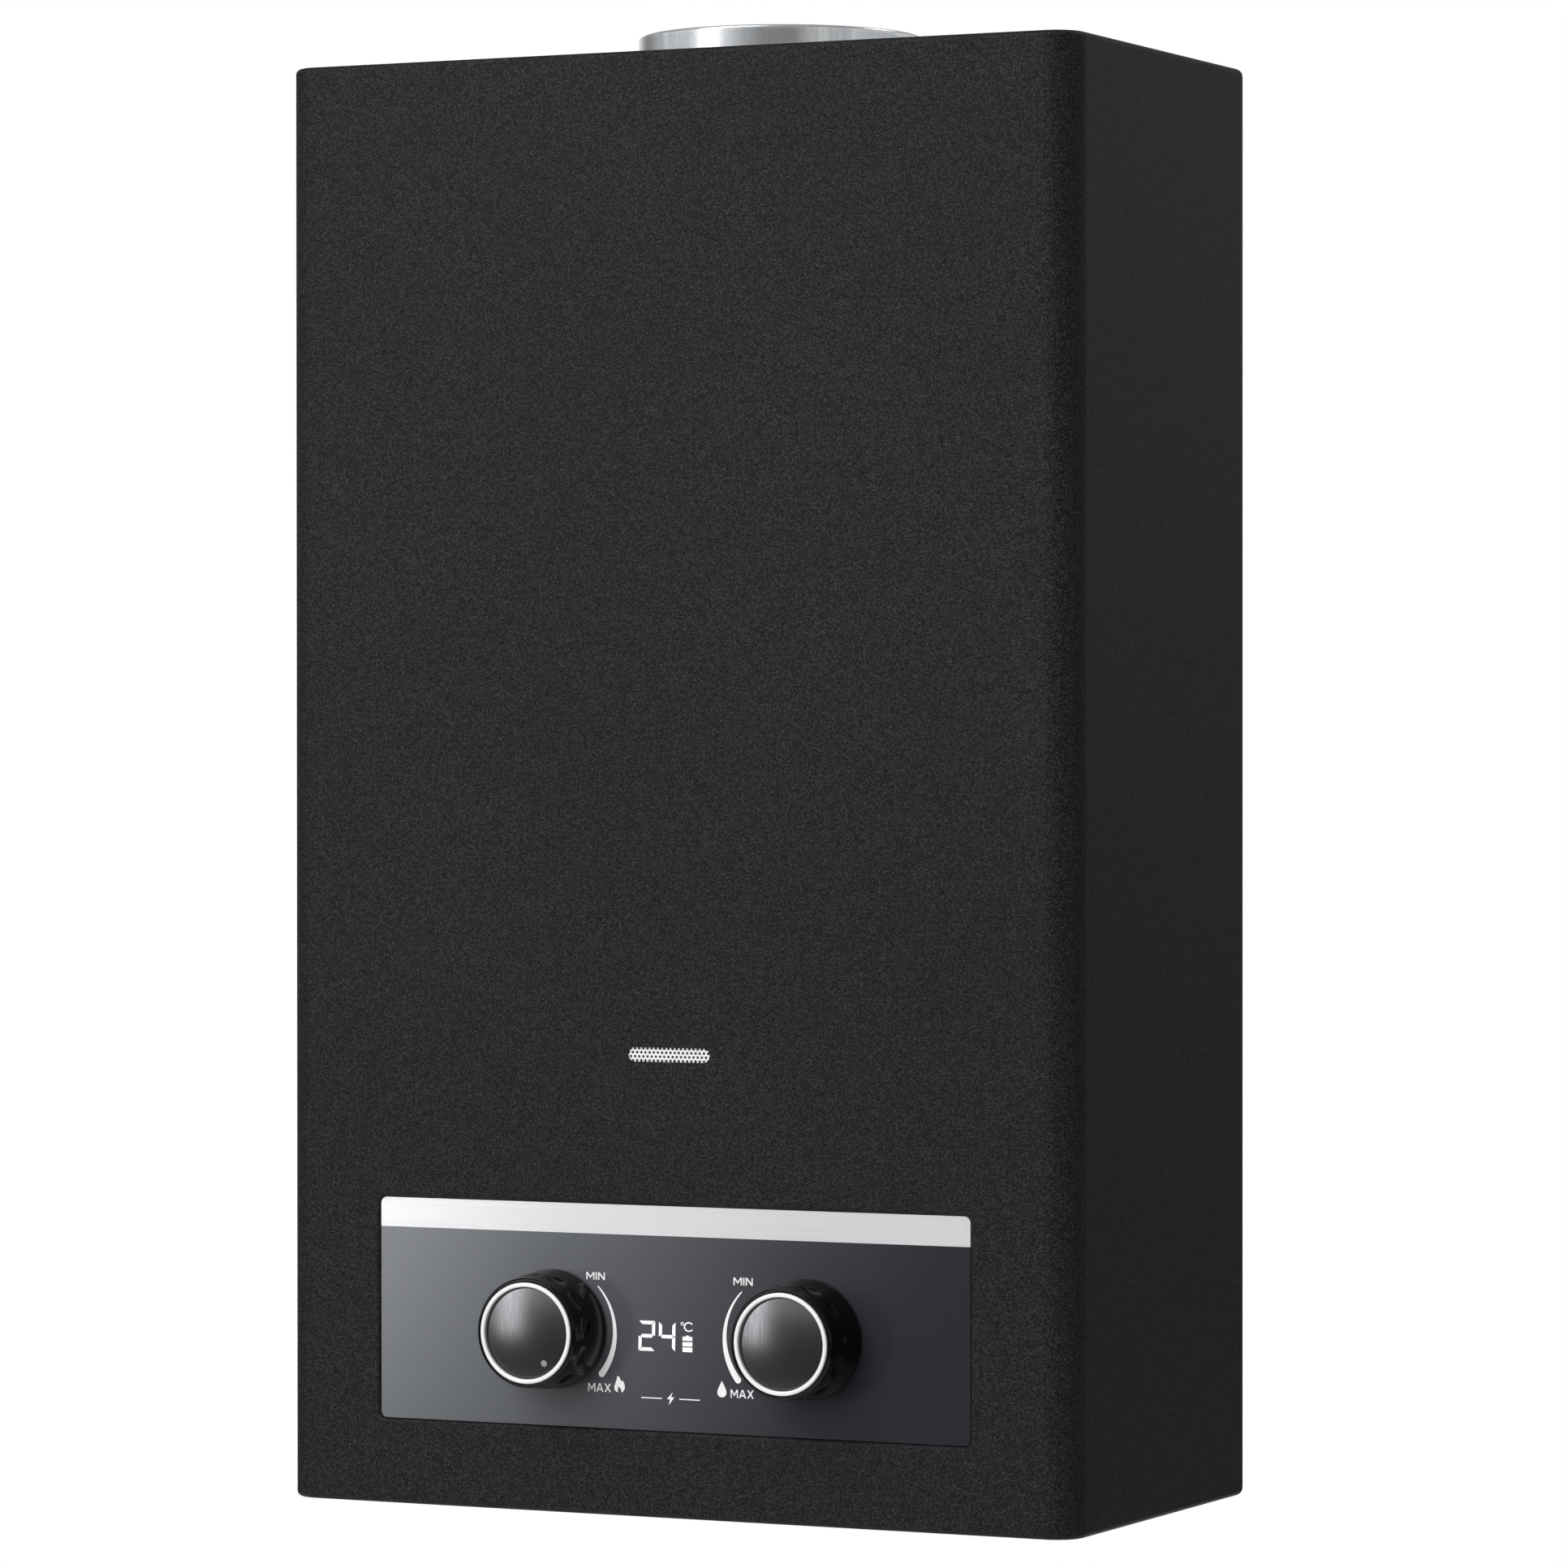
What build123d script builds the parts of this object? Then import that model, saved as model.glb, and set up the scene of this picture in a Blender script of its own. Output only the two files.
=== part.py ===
from build123d import *
from math import cos, pi, sin
import os

os.makedirs("parts", exist_ok=True)

# Wall-hung gas water heater. Millimetres, +Z up, +X to the right seen from the front.
# The wall is the plane y = 0 and the front faces -Y, so "out" is the distance in front of the wall.
# The origin is the centre of the four wall-fixing holes, at half the cabinet's height.

# Cabinet, and clearances shared by many pieces
cabinet_width = 330.0
cabinet_height = 550.0
cabinet_depth = 165.0
overrun = 5.0
rounding_share = 0.001
face_gap = 0.3
cabinet_bottom = -cabinet_height / 2
cabinet_top = cabinet_height / 2

# Front cover: one folded steel sheet, open at the back, with a lip round its open bottom
cover_sheet = 1.0
cover_edge_radius = 12.0
cover_fold_inside_radius = 1.2
cover_back_corner_radius = 4.0
cover_side_lip = 8.0
cover_front_lip = 16.0
cover_ear_width = 24.0
cover_ear_depth = 22.0
cover_screw_inset = 15.0
cover_fold_radius = cover_fold_inside_radius + cover_sheet

# Back plate: a shallow tray with a pipe shelf at its bottom and two pressed beads
tray_sheet = 1.0
tray_gap = 0.5
tray_depth = 18.0
tray_notch = 10.0
shelf_lip_gap = 2.5
shelf_lip = 7.0
bead_x = 78.0
bead_width = 14.0
bead_length = 330.0
bead_depth = 2.0
wall_hole_radius = 4.0
wall_hole_inset_x = 33.5
wall_hole_inset_z = 38.5
tray_width = cabinet_width - 2 * (cover_sheet + tray_gap)
tray_height = cabinet_height - 2 * (cover_sheet + tray_gap)
tray_bottom = -tray_height / 2
wall_hole_spacing_x = tray_width - 2 * wall_hole_inset_x
wall_hole_spacing_z = tray_height - 2 * wall_hole_inset_z
shelf_top = tray_bottom + tray_sheet
shelf_lip_top = tray_bottom + shelf_lip

# Machine screw used all over the heater
screw_radius = 1.95
screw_length = 8.0
screw_head_radius = 3.5
screw_head_height = 2.4
screw_fit = 0.1
screw_hole_radius = screw_radius + screw_fit

# Control panel in the cover's lower opening, with a silver band inlaid along its top
fascia_side_room = 41.6
fascia_height = 84.3
fascia_centre_height = 74.85
fascia_radius = 2.5
fascia_thickness = 3.0
fascia_recess = 1.0
fascia_gap = 0.3
rim_round = 1.2
band_height = 11.2
band_thickness = 1.0
carrier_thickness = 2.5
carrier_margin = 7.0
fascia_width = cabinet_width - 2 * fascia_side_room
fascia_z = cabinet_bottom + fascia_centre_height
fascia_top = fascia_z + fascia_height / 2
fascia_front = cabinet_depth - fascia_recess
fascia_back = fascia_front - fascia_thickness
rim_depth = cabinet_depth - fascia_back
opening_width = fascia_width + 2 * fascia_gap
opening_height = fascia_height + 2 * fascia_gap
opening_radius = fascia_radius + fascia_gap
carrier_back = fascia_back - carrier_thickness

# Display board behind the panel
display_shift = 5.5
display_centre_height = 68.3
display_width = 30.0
display_height = 18.0
display_gap = 0.2
board_width = 56.0
board_height = 34.0
board_thickness = 1.6
standoff_length = 5.0
standoff_radius = 2.5
display_z = cabinet_bottom + display_centre_height
board_front = carrier_back - standoff_length

# Flame window: a perforated plate behind an obround slot in the cover
sight_width = 34.6
sight_height = 5.4
sight_centre_height = 173.7
grille_thickness = 0.5
grille_margin = 4.0
grille_hole_radius = 0.5
grille_columns = 20
grille_rows = 4
grille_column_spacing = 1.75
grille_row_spacing = 1.52
sight_z = cabinet_bottom + sight_centre_height

# Burner: a sheet frame on the back plate, holding a row of pressed blades
burner_bottom_height = 112.0
burner_height = 54.0
burner_sheet = 1.2
burner_ledge = 10.0
burner_flange = 8.0
burner_arm_x = 50.0
burner_arm_width = 16.0
burner_arm_web = 2.0
burner_arm_foot = 1.5
burner_arm_height = 30.0
blade_side_room = 19.0
blade_spacing = 17.0
blade_width = 8.0
blade_top_gap = 4.0
blade_round = 10.0
blade_slot_length = 62.0
blade_slot_height = 8.0
blade_slot_rise = 15.0
blade_groove_width = 3.0
blade_groove_depth = 2.0
blade_groove_end = 4.0
venturi_radius = 3.0
venturi_depth = 20.0
venturi_rise = 13.0
burner_bottom = cabinet_bottom + burner_bottom_height
burner_top = burner_bottom + burner_height
blade_bottom = burner_bottom + burner_sheet
blade_top = burner_top - blade_top_gap
nozzle_z = blade_bottom + venturi_rise

# Heat exchanger: copper shell, fins, tube runs through the fins and a coil round the shell
exchanger_side_room = 61.0
exchanger_front_room = 38.5
exchanger_back = 22.5
shell_height = 270.0
shell_sheet = 1.0
shell_corner = 10.0
tube_radius = 6.5
tube_wall = 1.0
tube_fit = 0.1
tube_stub = 3.0
fin_tube_margin = 18.0
fin_tube_spacing = 17.0
fin_tube_drop = 34.0
fin_spacing = 4.6
fin_height = 56.0
fin_thickness = 0.5
fin_end_gap = 2.0
coil_rise = 50.0
coil_spacing = 75.0
coil_end_run = 1.0
exchanger_width = cabinet_width - 2 * exchanger_side_room
exchanger_front = cabinet_depth - exchanger_front_room
exchanger_depth = exchanger_front - exchanger_back
exchanger_out = exchanger_back + exchanger_depth / 2
blade_count = int((exchanger_width - 2 * blade_side_room) / blade_spacing + rounding_share) + 1
shell_top = burner_top + shell_height
tube_bore = tube_radius - tube_wall
fin_tube_z = shell_top - fin_tube_drop
fin_tube_end = exchanger_width / 2 + tube_stub
fin_tube_pairs = int((exchanger_depth - 2 * fin_tube_margin) / (2 * fin_tube_spacing) + rounding_share)
fin_tube_count = 2 * fin_tube_pairs + 1
fin_tube_front = exchanger_out + fin_tube_pairs * fin_tube_spacing
fin_tube_outs = [fin_tube_front - index * fin_tube_spacing for index in range(fin_tube_count)]
coil_offset = tube_radius + face_gap
coil_bend = shell_corner + coil_offset
coil_x = exchanger_width / 2 + coil_offset
coil_front = exchanger_front + coil_offset
coil_back = exchanger_back - coil_offset
coil_bottom = burner_top + coil_rise
coil_riser_x = fin_tube_end + coil_bend + coil_end_run

# Two alike control knobs with a bright ring and a brushed insert
knob_spacing = 106.0
knob_centre_height = 69.4
knob_radius = 22.65
knob_front_radius = 20.6
knob_depth = 21.6
knob_gap = 1.0
knob_round = 1.2
knob_skirt = 2.6
knob_recess_depth = 13.0
knob_hub_radius = 7.5
knob_seat_depth = 2.4
ring_radius = 19.0
ring_bore = 17.3
ring_height = 3.0
ring_round = 0.6
insert_height = 1.8
knob_fit = 0.1
dimple_count = 12
dimple_radius = 9.0
dimple_depth = 0.9
dimple_rise = 13.6
dimple_start_angle = 6.0
water_body_width = 40.0
feed_run = 33.8
water_knob_x = coil_x - feed_run - water_body_width / 2
gas_knob_x = water_knob_x - knob_spacing
knob_z = cabinet_bottom + knob_centre_height
knob_back = fascia_front + knob_gap
display_x = (gas_knob_x + water_knob_x) / 2 - display_shift

# Knob spindles, running in blind bores of the two valve bodies
spindle_radius = 4.0
spindle_fit = 0.05
spindle_flat = 1.2
spindle_end_gap = 0.4
spindle_bore_depth = 16.0
spindle_window = 3.0
spindle_hole_radius = spindle_radius + spindle_window

# Valve unit: gas section left, water section right, one push rod between them
valve_setback = 47.0
valve_depth = 56.0
valve_corner_radius = 4.0
valve_boss_radius = 12.0
valve_boss_height = 6.0
rod_rise = 6.0
rod_radius = 3.0
rod_fit = 0.05
valve_out = cabinet_depth - valve_setback
valve_front = valve_out + valve_depth / 2
valve_back = valve_out - valve_depth / 2
boss_front = valve_front + valve_boss_height
spindle_bore_end = boss_front - spindle_bore_depth
rod_z = knob_z + rod_rise
rod_bore_radius = rod_radius + rod_fit

# Gas section
gas_body_width = 62.0
gas_body_below = 28.0
gas_body_above = 31.0
gas_chamber_radius = 13.0
gas_chamber_depth = 34.0
gas_port_radius = 6.0
gas_port_length = 16.0
gas_disc_radius = 11.0
gas_disc_thickness = 4.0
gas_seat_gap = 0.2
gas_inlet_drop = 14.0
gas_passage_radius = 5.0
gas_passage_depth = 18.0
cap_width = 38.0
cap_thickness = 4.0
cap_spigot = 3.0
cap_fit = 0.2
cap_screw_spacing = 28.0
spring_wire_radius = 0.6
spring_radius = 7.0
spring_turns = 6
gas_body_bottom = knob_z - gas_body_below
gas_body_top = knob_z + gas_body_above
gas_left = gas_knob_x - gas_body_width / 2
gas_right = gas_knob_x + gas_body_width / 2
gas_seat_x = gas_left + gas_chamber_depth
gas_disc_right = gas_seat_x - gas_seat_gap
gas_disc_left = gas_disc_right - gas_disc_thickness
gas_inlet_z = knob_z - gas_inlet_drop

# Solenoid shut-off under the gas section
solenoid_radius = 13.0
solenoid_height = 30.0
solenoid_flange_width = 34.0
solenoid_flange_thickness = 3.0
solenoid_floor = 5.0
solenoid_chamber_radius = 11.0
solenoid_chamber_depth = 12.0
solenoid_port_radius = 4.0
plunger_radius = 4.0
plunger_fit = 0.05
plunger_disc_radius = 9.0
plunger_disc_thickness = 3.0
plunger_travel = 2.5
plunger_end_gap = 1.0
solenoid_seat_z = gas_body_bottom + solenoid_chamber_depth
solenoid_bottom = gas_body_bottom - solenoid_flange_thickness - solenoid_height
plunger_bore_bottom = solenoid_bottom + solenoid_floor

# Water section: a diaphragm clamped between a body and a cover
water_body_below = 20.0
water_body_above = 29.0
housing_radius = 30.0
housing_dome_radius = 22.4
housing_flange = 5.0
housing_dome = 8.0
housing_chamber_radius = 18.5
housing_screw_circle = 26.2
housing_screws = 6
housing_reach = 13.0
diaphragm_radius = 29.5
diaphragm_thickness = 1.5
rod_plate_radius = 16.0
rod_plate_thickness = 3.0
gland_radius = 8.0
gland_length = 6.0
water_inlet_drop = 6.0
water_outlet_rise = 17.0
water_passage_radius = 5.5
water_passage_depth = 18.0
plug_radius = 6.0
plug_depth = 8.0
plug_across_flats = 17.0
plug_head = 7.0
plug_fit = 0.1
plug_shift = 10.0
water_left = water_knob_x - water_body_width / 2
water_right = water_knob_x + water_body_width / 2
water_body_bottom = knob_z - water_body_below
water_body_top = knob_z + water_body_above
diaphragm_right = water_left - housing_reach
diaphragm_left = diaphragm_right - diaphragm_thickness
housing_flange_left = diaphragm_left - housing_flange
housing_left = housing_flange_left - housing_dome
gland_left = housing_left - gland_length
water_inlet_z = knob_z - water_inlet_drop
water_outlet_z = knob_z + water_outlet_rise

# Micro switch worked by a collar on the push rod
rod_collar_radius = 7.0
rod_collar_length = 3.0
rod_collar_reach = 15.0
lever_thickness = 1.0
lever_width = 4.0
lever_eye_radius = 1.8
lever_pin_radius = 0.8
lever_pin_fit = 0.05
lever_side_gap = 0.4
lever_tip_gap = 1.0
pivot_drop = 4.0
switch_gap = 2.6
switch_length = 10.6
switch_height = 10.0
switch_ear = 1.0
bracket_thickness = 1.5
bracket_width = 14.0
bracket_reach = 16.0
rod_collar_left = gas_right + rod_collar_reach
lever_right = rod_collar_left - face_gap
pivot_x = lever_right - lever_thickness / 2
pivot_z = gas_body_top - pivot_drop
switch_right = lever_right - lever_thickness - switch_gap
switch_left = switch_right - switch_length
lever_bottom = rod_z + rod_radius + lever_tip_gap

# Gas manifold in front of the burner
manifold_end_gap = 4.0
manifold_depth = 14.0
manifold_height = 16.0
manifold_gap = 2.5
manifold_round = 2.0
manifold_bore = 4.0
manifold_leg_radius = 6.0
manifold_leg_bore = 3.5
manifold_ear_width = 10.0
nozzle_radius = 4.0
nozzle_tip_radius = 2.2
nozzle_length = 3.0
nozzle_tip_length = 2.5
nozzle_window = 1.5
manifold_length = exchanger_width - 2 * manifold_end_gap
manifold_back = exchanger_front + manifold_gap
manifold_out = manifold_back + manifold_depth / 2
manifold_bottom = nozzle_z - manifold_height / 2

# Spark and flame-sensing electrodes through the front of the shell
electrode_x = 32.0
electrode_rise = 28.0
electrode_plate_width = 96.0
electrode_plate_height = 18.0
electrode_plate_sheet = 1.5
electrode_screw_x = 43.0
ceramic_radius = 3.5
ceramic_fit = 0.1
ceramic_outside = 13.5
ceramic_inside = 8.0
rod_tip_radius = 1.2
rod_tip_reach = 14.0
rod_tip_drop = 22.0
rod_tip_bend = 6.0
electrode_z = burner_top + electrode_rise
ceramic_front = exchanger_front + ceramic_outside
ceramic_back = exchanger_front - ceramic_inside

# Flue hood and collar
hood_sheet = 0.8
hood_skirt = 16.0
hood_top_width = 150.0
hood_top_depth = 120.0
hood_drop = 30.0
hood_arm_x = 60.0
hood_arm_width = 14.0
hood_arm_sheet = 1.5
hood_slot_width = 26.0
hood_slot_height = 6.0
hood_slot_count = 4
hood_slot_spacing = 36.0
hood_slot_rise = 24.0
flue_out = 67.4
collar_radius = 55.0
collar_wall = 1.0
collar_rise = 12.8
collar_hem = 5.0
collar_flange_radius = 58.5
collar_clearance = 8.0
hood_top = cabinet_top - hood_drop
hood_width = exchanger_width + 2 * (face_gap + hood_sheet)
hood_depth = exchanger_depth + 2 * (face_gap + hood_sheet)
collar_bore = collar_radius - collar_wall
collar_hem_bore = collar_bore - collar_wall
collar_top = cabinet_top + collar_rise
notch_radius = collar_radius + collar_clearance

# Safety sensors
button_radius = 8.0
button_height = 7.0
button_tab_width = 26.0
button_tab_height = 12.0
button_tab_sheet = 1.5
draft_sensor_inset = 42.0
thermostat_drop = 96.0
clip_width = 20.0
clip_height = 14.0
clip_height_above_floor = 110.0
probe_radius = 3.5
probe_length = 12.0
draft_sensor_x = exchanger_width / 2 - draft_sensor_inset

# Water and gas connections on the pipe shelf
thread_radius = 10.48
thread_length = 14.0
thread_chamfer = 1.0
thread_relief = 1.0
fitting_bore = 5.5
fitting_flange_length = 44.0
fitting_flange_width = 26.0
fitting_flange_thickness = 4.0
fitting_flange_round = 6.0
fitting_screw_spacing = 33.0
fitting_neck = 10.0
shelf_hole_fit = 0.4
hot_side_room = 33.0
pipe_bend = 18.0
nut_across_flats = 24.0
nut_height = 10.0
nut_fit = 0.1
hot_x = hot_side_room - cabinet_width / 2
fitting_out = fin_tube_outs[-1]
shelf_depth = fitting_out + fitting_flange_length / 2 + shelf_lip_gap + tray_sheet
fitting_flange_top = shelf_top + fitting_flange_thickness
fitting_top = fitting_flange_top + fitting_neck
fitting_places = {"gas_inlet": gas_knob_x, "cold_inlet": water_knob_x, "hot_outlet": hot_x}

# Battery box with two upright cells and a door that swings down
cell_radius = 17.1
cell_length = 61.5
cell_gap = 0.6
cell_nub_radius = 4.5
cell_nub_height = 1.5
battery_side_room = 47.0
battery_wall = 2.0
battery_round = 3.0
battery_floor_height = 1.5
battery_tongue_width = 40.0
battery_tongue_sheet = 2.5
battery_tongue_lap = 14.0
door_thickness = 2.5
door_tab_width = 22.0
door_tab_reach = 4.0
contact_sheet = 0.8
contact_width = 12.0
hinge_pin_radius = 1.0
hinge_pin_fit = 0.05
hinge_knuckle_radius = 2.5
hinge_knuckle_length = 40.0
hinge_ear_width = 4.0
hinge_ear_height = 5.0
hinge_side_gap = 0.4
battery_x = cabinet_width / 2 - battery_side_room
battery_spacing = 2 * cell_radius + cell_gap
battery_width = 2 * battery_spacing + cell_gap + 2 * battery_wall
battery_depth = 2 * (cell_radius + cell_gap + battery_wall)
battery_back = valve_out - battery_depth / 2
battery_front = valve_out + battery_depth / 2
door_bottom = cabinet_bottom + battery_floor_height
door_top = door_bottom + door_thickness
cell_bottom = door_top + face_gap
cell_top = cell_bottom + cell_length
contact_bottom = cell_top
battery_top = contact_bottom + contact_sheet + battery_wall
hinge_out = battery_back - hinge_knuckle_radius - face_gap
hinge_z = door_bottom + door_thickness / 2
hinge_ear_x = (hinge_knuckle_length + hinge_ear_width) / 2 + hinge_side_gap

# Ignition controller on the back plate
controller_side_room = 23.0
controller_width = 30.0
controller_depth = 56.0
controller_height = 96.0
controller_bottom_height = 132.0
controller_round = 3.0
controller_plug_width = 18.0
controller_plug_depth = 12.0
controller_plug_height = 6.0
controller_x = cabinet_width / 2 - controller_side_room
controller_bottom = cabinet_bottom + controller_bottom_height
controller_front = tray_sheet + controller_depth
controller_plug_out = tray_sheet + controller_depth / 2

# Insulated leads
lead_radius = 1.6
lead_bend = 9.0
lead_front_gap = 7.0
lead_step = 16.0
lead_side_step = 18.0
lead_drop = 24.0
lead_shift = 10.0
lead_rise = 26.0
lead_front = cabinet_depth - cover_sheet - lead_front_gap
board_middle = board_front - board_thickness / 2

# Places of the screws: each plane lies under a screw head and faces out of it
cover_screw_x = cabinet_width / 2 - cover_screw_inset
cover_screw_planes = [
    Plane(origin=(side * cover_screw_x, -tray_depth / 2, end * cabinet_top), z_dir=(0, 0, end))
    for side in (-1, 1)
    for end in (-1, 1)
]
fitting_screw_planes = [
    Plane(origin=(x, -fitting_out + side * fitting_screw_spacing / 2, fitting_flange_top), z_dir=(0, 0, 1))
    for x in fitting_places.values()
    for side in (-1, 1)
]
housing_screw_angles = [2 * pi * index / housing_screws for index in range(housing_screws)]
housing_screw_planes = [
    Plane(
        origin=(
            housing_flange_left,
            -valve_out + housing_screw_circle * cos(angle),
            rod_z + housing_screw_circle * sin(angle),
        ),
        z_dir=(-1, 0, 0),
    )
    for angle in housing_screw_angles
]
cap_left = gas_left - cap_thickness
cap_screw_planes = [
    Plane(
        origin=(cap_left, -valve_out + y * cap_screw_spacing / 2, rod_z + z * cap_screw_spacing / 2),
        z_dir=(-1, 0, 0),
    )
    for y in (-1, 1)
    for z in (-1, 1)
]
electrode_screw_planes = [
    Plane(
        origin=(side * electrode_screw_x, -exchanger_front - electrode_plate_sheet, electrode_z),
        z_dir=(0, -1, 0),
    )
    for side in (-1, 1)
]
flange_screw_x = blade_spacing * (blade_count - 1) / 2
flange_screw_planes = [
    Plane(origin=(side * flange_screw_x, -out, burner_top + shell_sheet), z_dir=(0, 0, 1))
    for side in (-1, 1)
    for out in (exchanger_front + burner_flange / 2, exchanger_back - burner_flange / 2)
]
screw_planes = (
    cover_screw_planes
    + fitting_screw_planes
    + housing_screw_planes
    + cap_screw_planes
    + electrode_screw_planes
    + flange_screw_planes
)


def save(piece, name):
    """Label a finished piece and write it to a file of its own."""
    piece.part.label = name
    export_step(piece.part, f"parts/{name}.step")


def cabinet_block(width, depth, height, back, edge_radius, fold_radius):
    """Box with rounded upright front edges and rounded top and bottom folds, its back at y = back."""
    with BuildPart() as block:
        with BuildSketch(Plane.XY.offset(-height / 2)) as outline:
            with Locations((0, back)):
                Rectangle(width, depth, align=(Align.CENTER, Align.MAX))
            fillet(outline.vertices().group_by(Axis.Y)[0], edge_radius)
        extrude(amount=height)
        rims = block.faces().filter_by(Axis.Z).edges()
        fillet(rims.filter_by(lambda edge: edge.center().Y < back - fold_radius), fold_radius)
    return block


def bent_tube(points, bend_radius, outside_radius, bore_radius=0):
    """Round tube of straight runs joined by tangent bends; a bore radius of zero leaves it solid."""
    with BuildPart() as tube:
        with BuildLine() as route:
            FilletPolyline(*points, radius=bend_radius)
        with BuildSketch(Plane(origin=route.line @ 0, z_dir=route.line % 0)):
            Circle(outside_radius)
            if bore_radius:
                Circle(bore_radius, mode=Mode.SUBTRACT)
        sweep(path=route.line)
    return tube


# Front cover
cover_outside = cabinet_block(
    cabinet_width, cabinet_depth, cabinet_height, 0, cover_edge_radius, cover_fold_radius
)
cover_inside = cabinet_block(
    cabinet_width - 2 * cover_sheet,
    cabinet_depth - cover_sheet + overrun,
    cabinet_height - 2 * cover_sheet,
    overrun,
    cover_edge_radius - cover_sheet,
    cover_fold_inside_radius,
)
with BuildPart() as front_cover:
    add(cover_outside.part)
    add(cover_inside.part, mode=Mode.SUBTRACT)
    # Turned-in rim round the control panel, rolled over at its front edge
    with BuildSketch(Plane.XZ.offset(fascia_back)):
        with Locations((0, fascia_z)):
            RectangleRounded(
                opening_width + 2 * cover_sheet,
                opening_height + 2 * cover_sheet,
                opening_radius + cover_sheet,
            )
    extrude(amount=rim_depth - cover_sheet / 2)
    with BuildSketch(Plane.XZ.offset(fascia_back - overrun)):
        with Locations((0, fascia_z)):
            RectangleRounded(opening_width, opening_height, opening_radius)
    extrude(amount=rim_depth + 2 * overrun, mode=Mode.SUBTRACT)
    front_face = front_cover.faces().filter_by(Axis.Y).sort_by(Axis.Y)[0]
    fillet(front_face.inner_wires().edges(), rim_round)
    # Flame window slot
    with BuildSketch(Plane.XZ.offset(cabinet_depth - cover_sheet - overrun)):
        with Locations((0, sight_z)):
            SlotOverall(sight_width, sight_height)
    extrude(amount=cover_sheet + 2 * overrun, mode=Mode.SUBTRACT)
    # Notch in the top, open to the back, so that the cover comes off past the flue collar
    with BuildSketch(Plane.XY.offset(cabinet_top - cover_sheet - overrun)):
        with Locations((0, -flue_out)):
            Circle(notch_radius)
            Rectangle(2 * notch_radius, flue_out + overrun, align=(Align.CENTER, Align.MIN))
    extrude(amount=cover_sheet + 2 * overrun, mode=Mode.SUBTRACT)
    # Open bottom, narrower between the two screw ears at the back
    with BuildSketch(Plane.XY.offset(cabinet_bottom - overrun)):
        with Locations((0, -cover_ear_depth)):
            Rectangle(
                cabinet_width - 2 * cover_side_lip,
                cabinet_depth - cover_front_lip - cover_ear_depth,
                align=(Align.CENTER, Align.MAX),
            )
        with Locations((0, overrun)):
            Rectangle(
                cabinet_width - 2 * cover_ear_width,
                cover_ear_depth + 2 * overrun,
                align=(Align.CENTER, Align.MAX),
            )
    extrude(amount=cover_sheet + 2 * overrun, mode=Mode.SUBTRACT)
    # Rounded back corners of the two side walls
    with BuildSketch(Plane.YZ.offset(-cabinet_width / 2 - overrun)):
        with Locations((-cover_back_corner_radius, cabinet_top - cover_back_corner_radius)):
            Rectangle(
                cover_back_corner_radius + overrun,
                cover_back_corner_radius + overrun,
                align=(Align.MIN, Align.MIN),
            )
            Circle(cover_back_corner_radius, mode=Mode.SUBTRACT)
        mirror(about=Plane.XZ)
    extrude(amount=cabinet_width + 2 * overrun, mode=Mode.SUBTRACT)
    with Locations(*cover_screw_planes):
        Hole(screw_hole_radius, screw_length)
save(front_cover, "front_cover")

# Back plate
with BuildPart() as back_plate:
    with BuildSketch(Plane.XZ):
        Rectangle(tray_width, tray_height)
    extrude(amount=tray_depth)
    with BuildSketch(Plane.XZ.offset(tray_sheet)):
        Rectangle(tray_width - 2 * tray_sheet, tray_height - 2 * tray_sheet)
    extrude(amount=tray_depth, mode=Mode.SUBTRACT)
    # Corner reliefs of the four flanges
    with BuildSketch(Plane.XZ.offset(tray_sheet)):
        with GridLocations(tray_width, tray_height, 2, 2):
            Rectangle(2 * tray_notch, 2 * tray_notch)
    extrude(amount=tray_depth, mode=Mode.SUBTRACT)
    # Pipe shelf with an upturned front lip
    shelf_width = tray_width - 2 * tray_notch
    with BuildSketch(Plane.XY.offset(tray_bottom)):
        Rectangle(shelf_width, shelf_depth, align=(Align.CENTER, Align.MAX))
    extrude(amount=tray_sheet)
    with BuildSketch(Plane.XY.offset(tray_bottom)):
        with Locations((0, -shelf_depth)):
            Rectangle(shelf_width, tray_sheet, align=(Align.CENTER, Align.MIN))
    extrude(amount=shelf_lip)
    with BuildSketch(Plane.XY.offset(tray_bottom - overrun)):
        with Locations(*[(x, -fitting_out) for x in fitting_places.values()]):
            Circle(thread_radius + shelf_hole_fit)
    extrude(amount=tray_sheet + 2 * overrun, mode=Mode.SUBTRACT)
    # Clearance round the flue collar in the top flange
    with BuildSketch(Plane.XY.offset(tray_height / 2 - tray_sheet - overrun)):
        with Locations((0, -flue_out)):
            Circle(notch_radius)
    extrude(amount=tray_sheet + 2 * overrun, mode=Mode.SUBTRACT)
    # Two upright beads pressed forward out of the plate
    with BuildSketch(Plane.XZ.offset(tray_sheet)):
        with Locations((-bead_x, 0), (bead_x, 0)):
            SlotOverall(bead_length, bead_width, rotation=90)
    extrude(amount=bead_depth)
    with BuildSketch(Plane.XZ):
        with Locations((-bead_x, 0), (bead_x, 0)):
            SlotOverall(bead_length - 2 * tray_sheet, bead_width - 2 * tray_sheet, rotation=90)
    extrude(amount=bead_depth, mode=Mode.SUBTRACT)
    with BuildSketch(Plane.XZ):
        with GridLocations(wall_hole_spacing_x, wall_hole_spacing_z, 2, 2):
            Circle(wall_hole_radius)
    extrude(amount=tray_sheet + overrun, mode=Mode.SUBTRACT)
    with Locations(*cover_screw_planes, *fitting_screw_planes):
        Hole(screw_hole_radius, screw_length)
save(back_plate, "back_plate")

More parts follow.
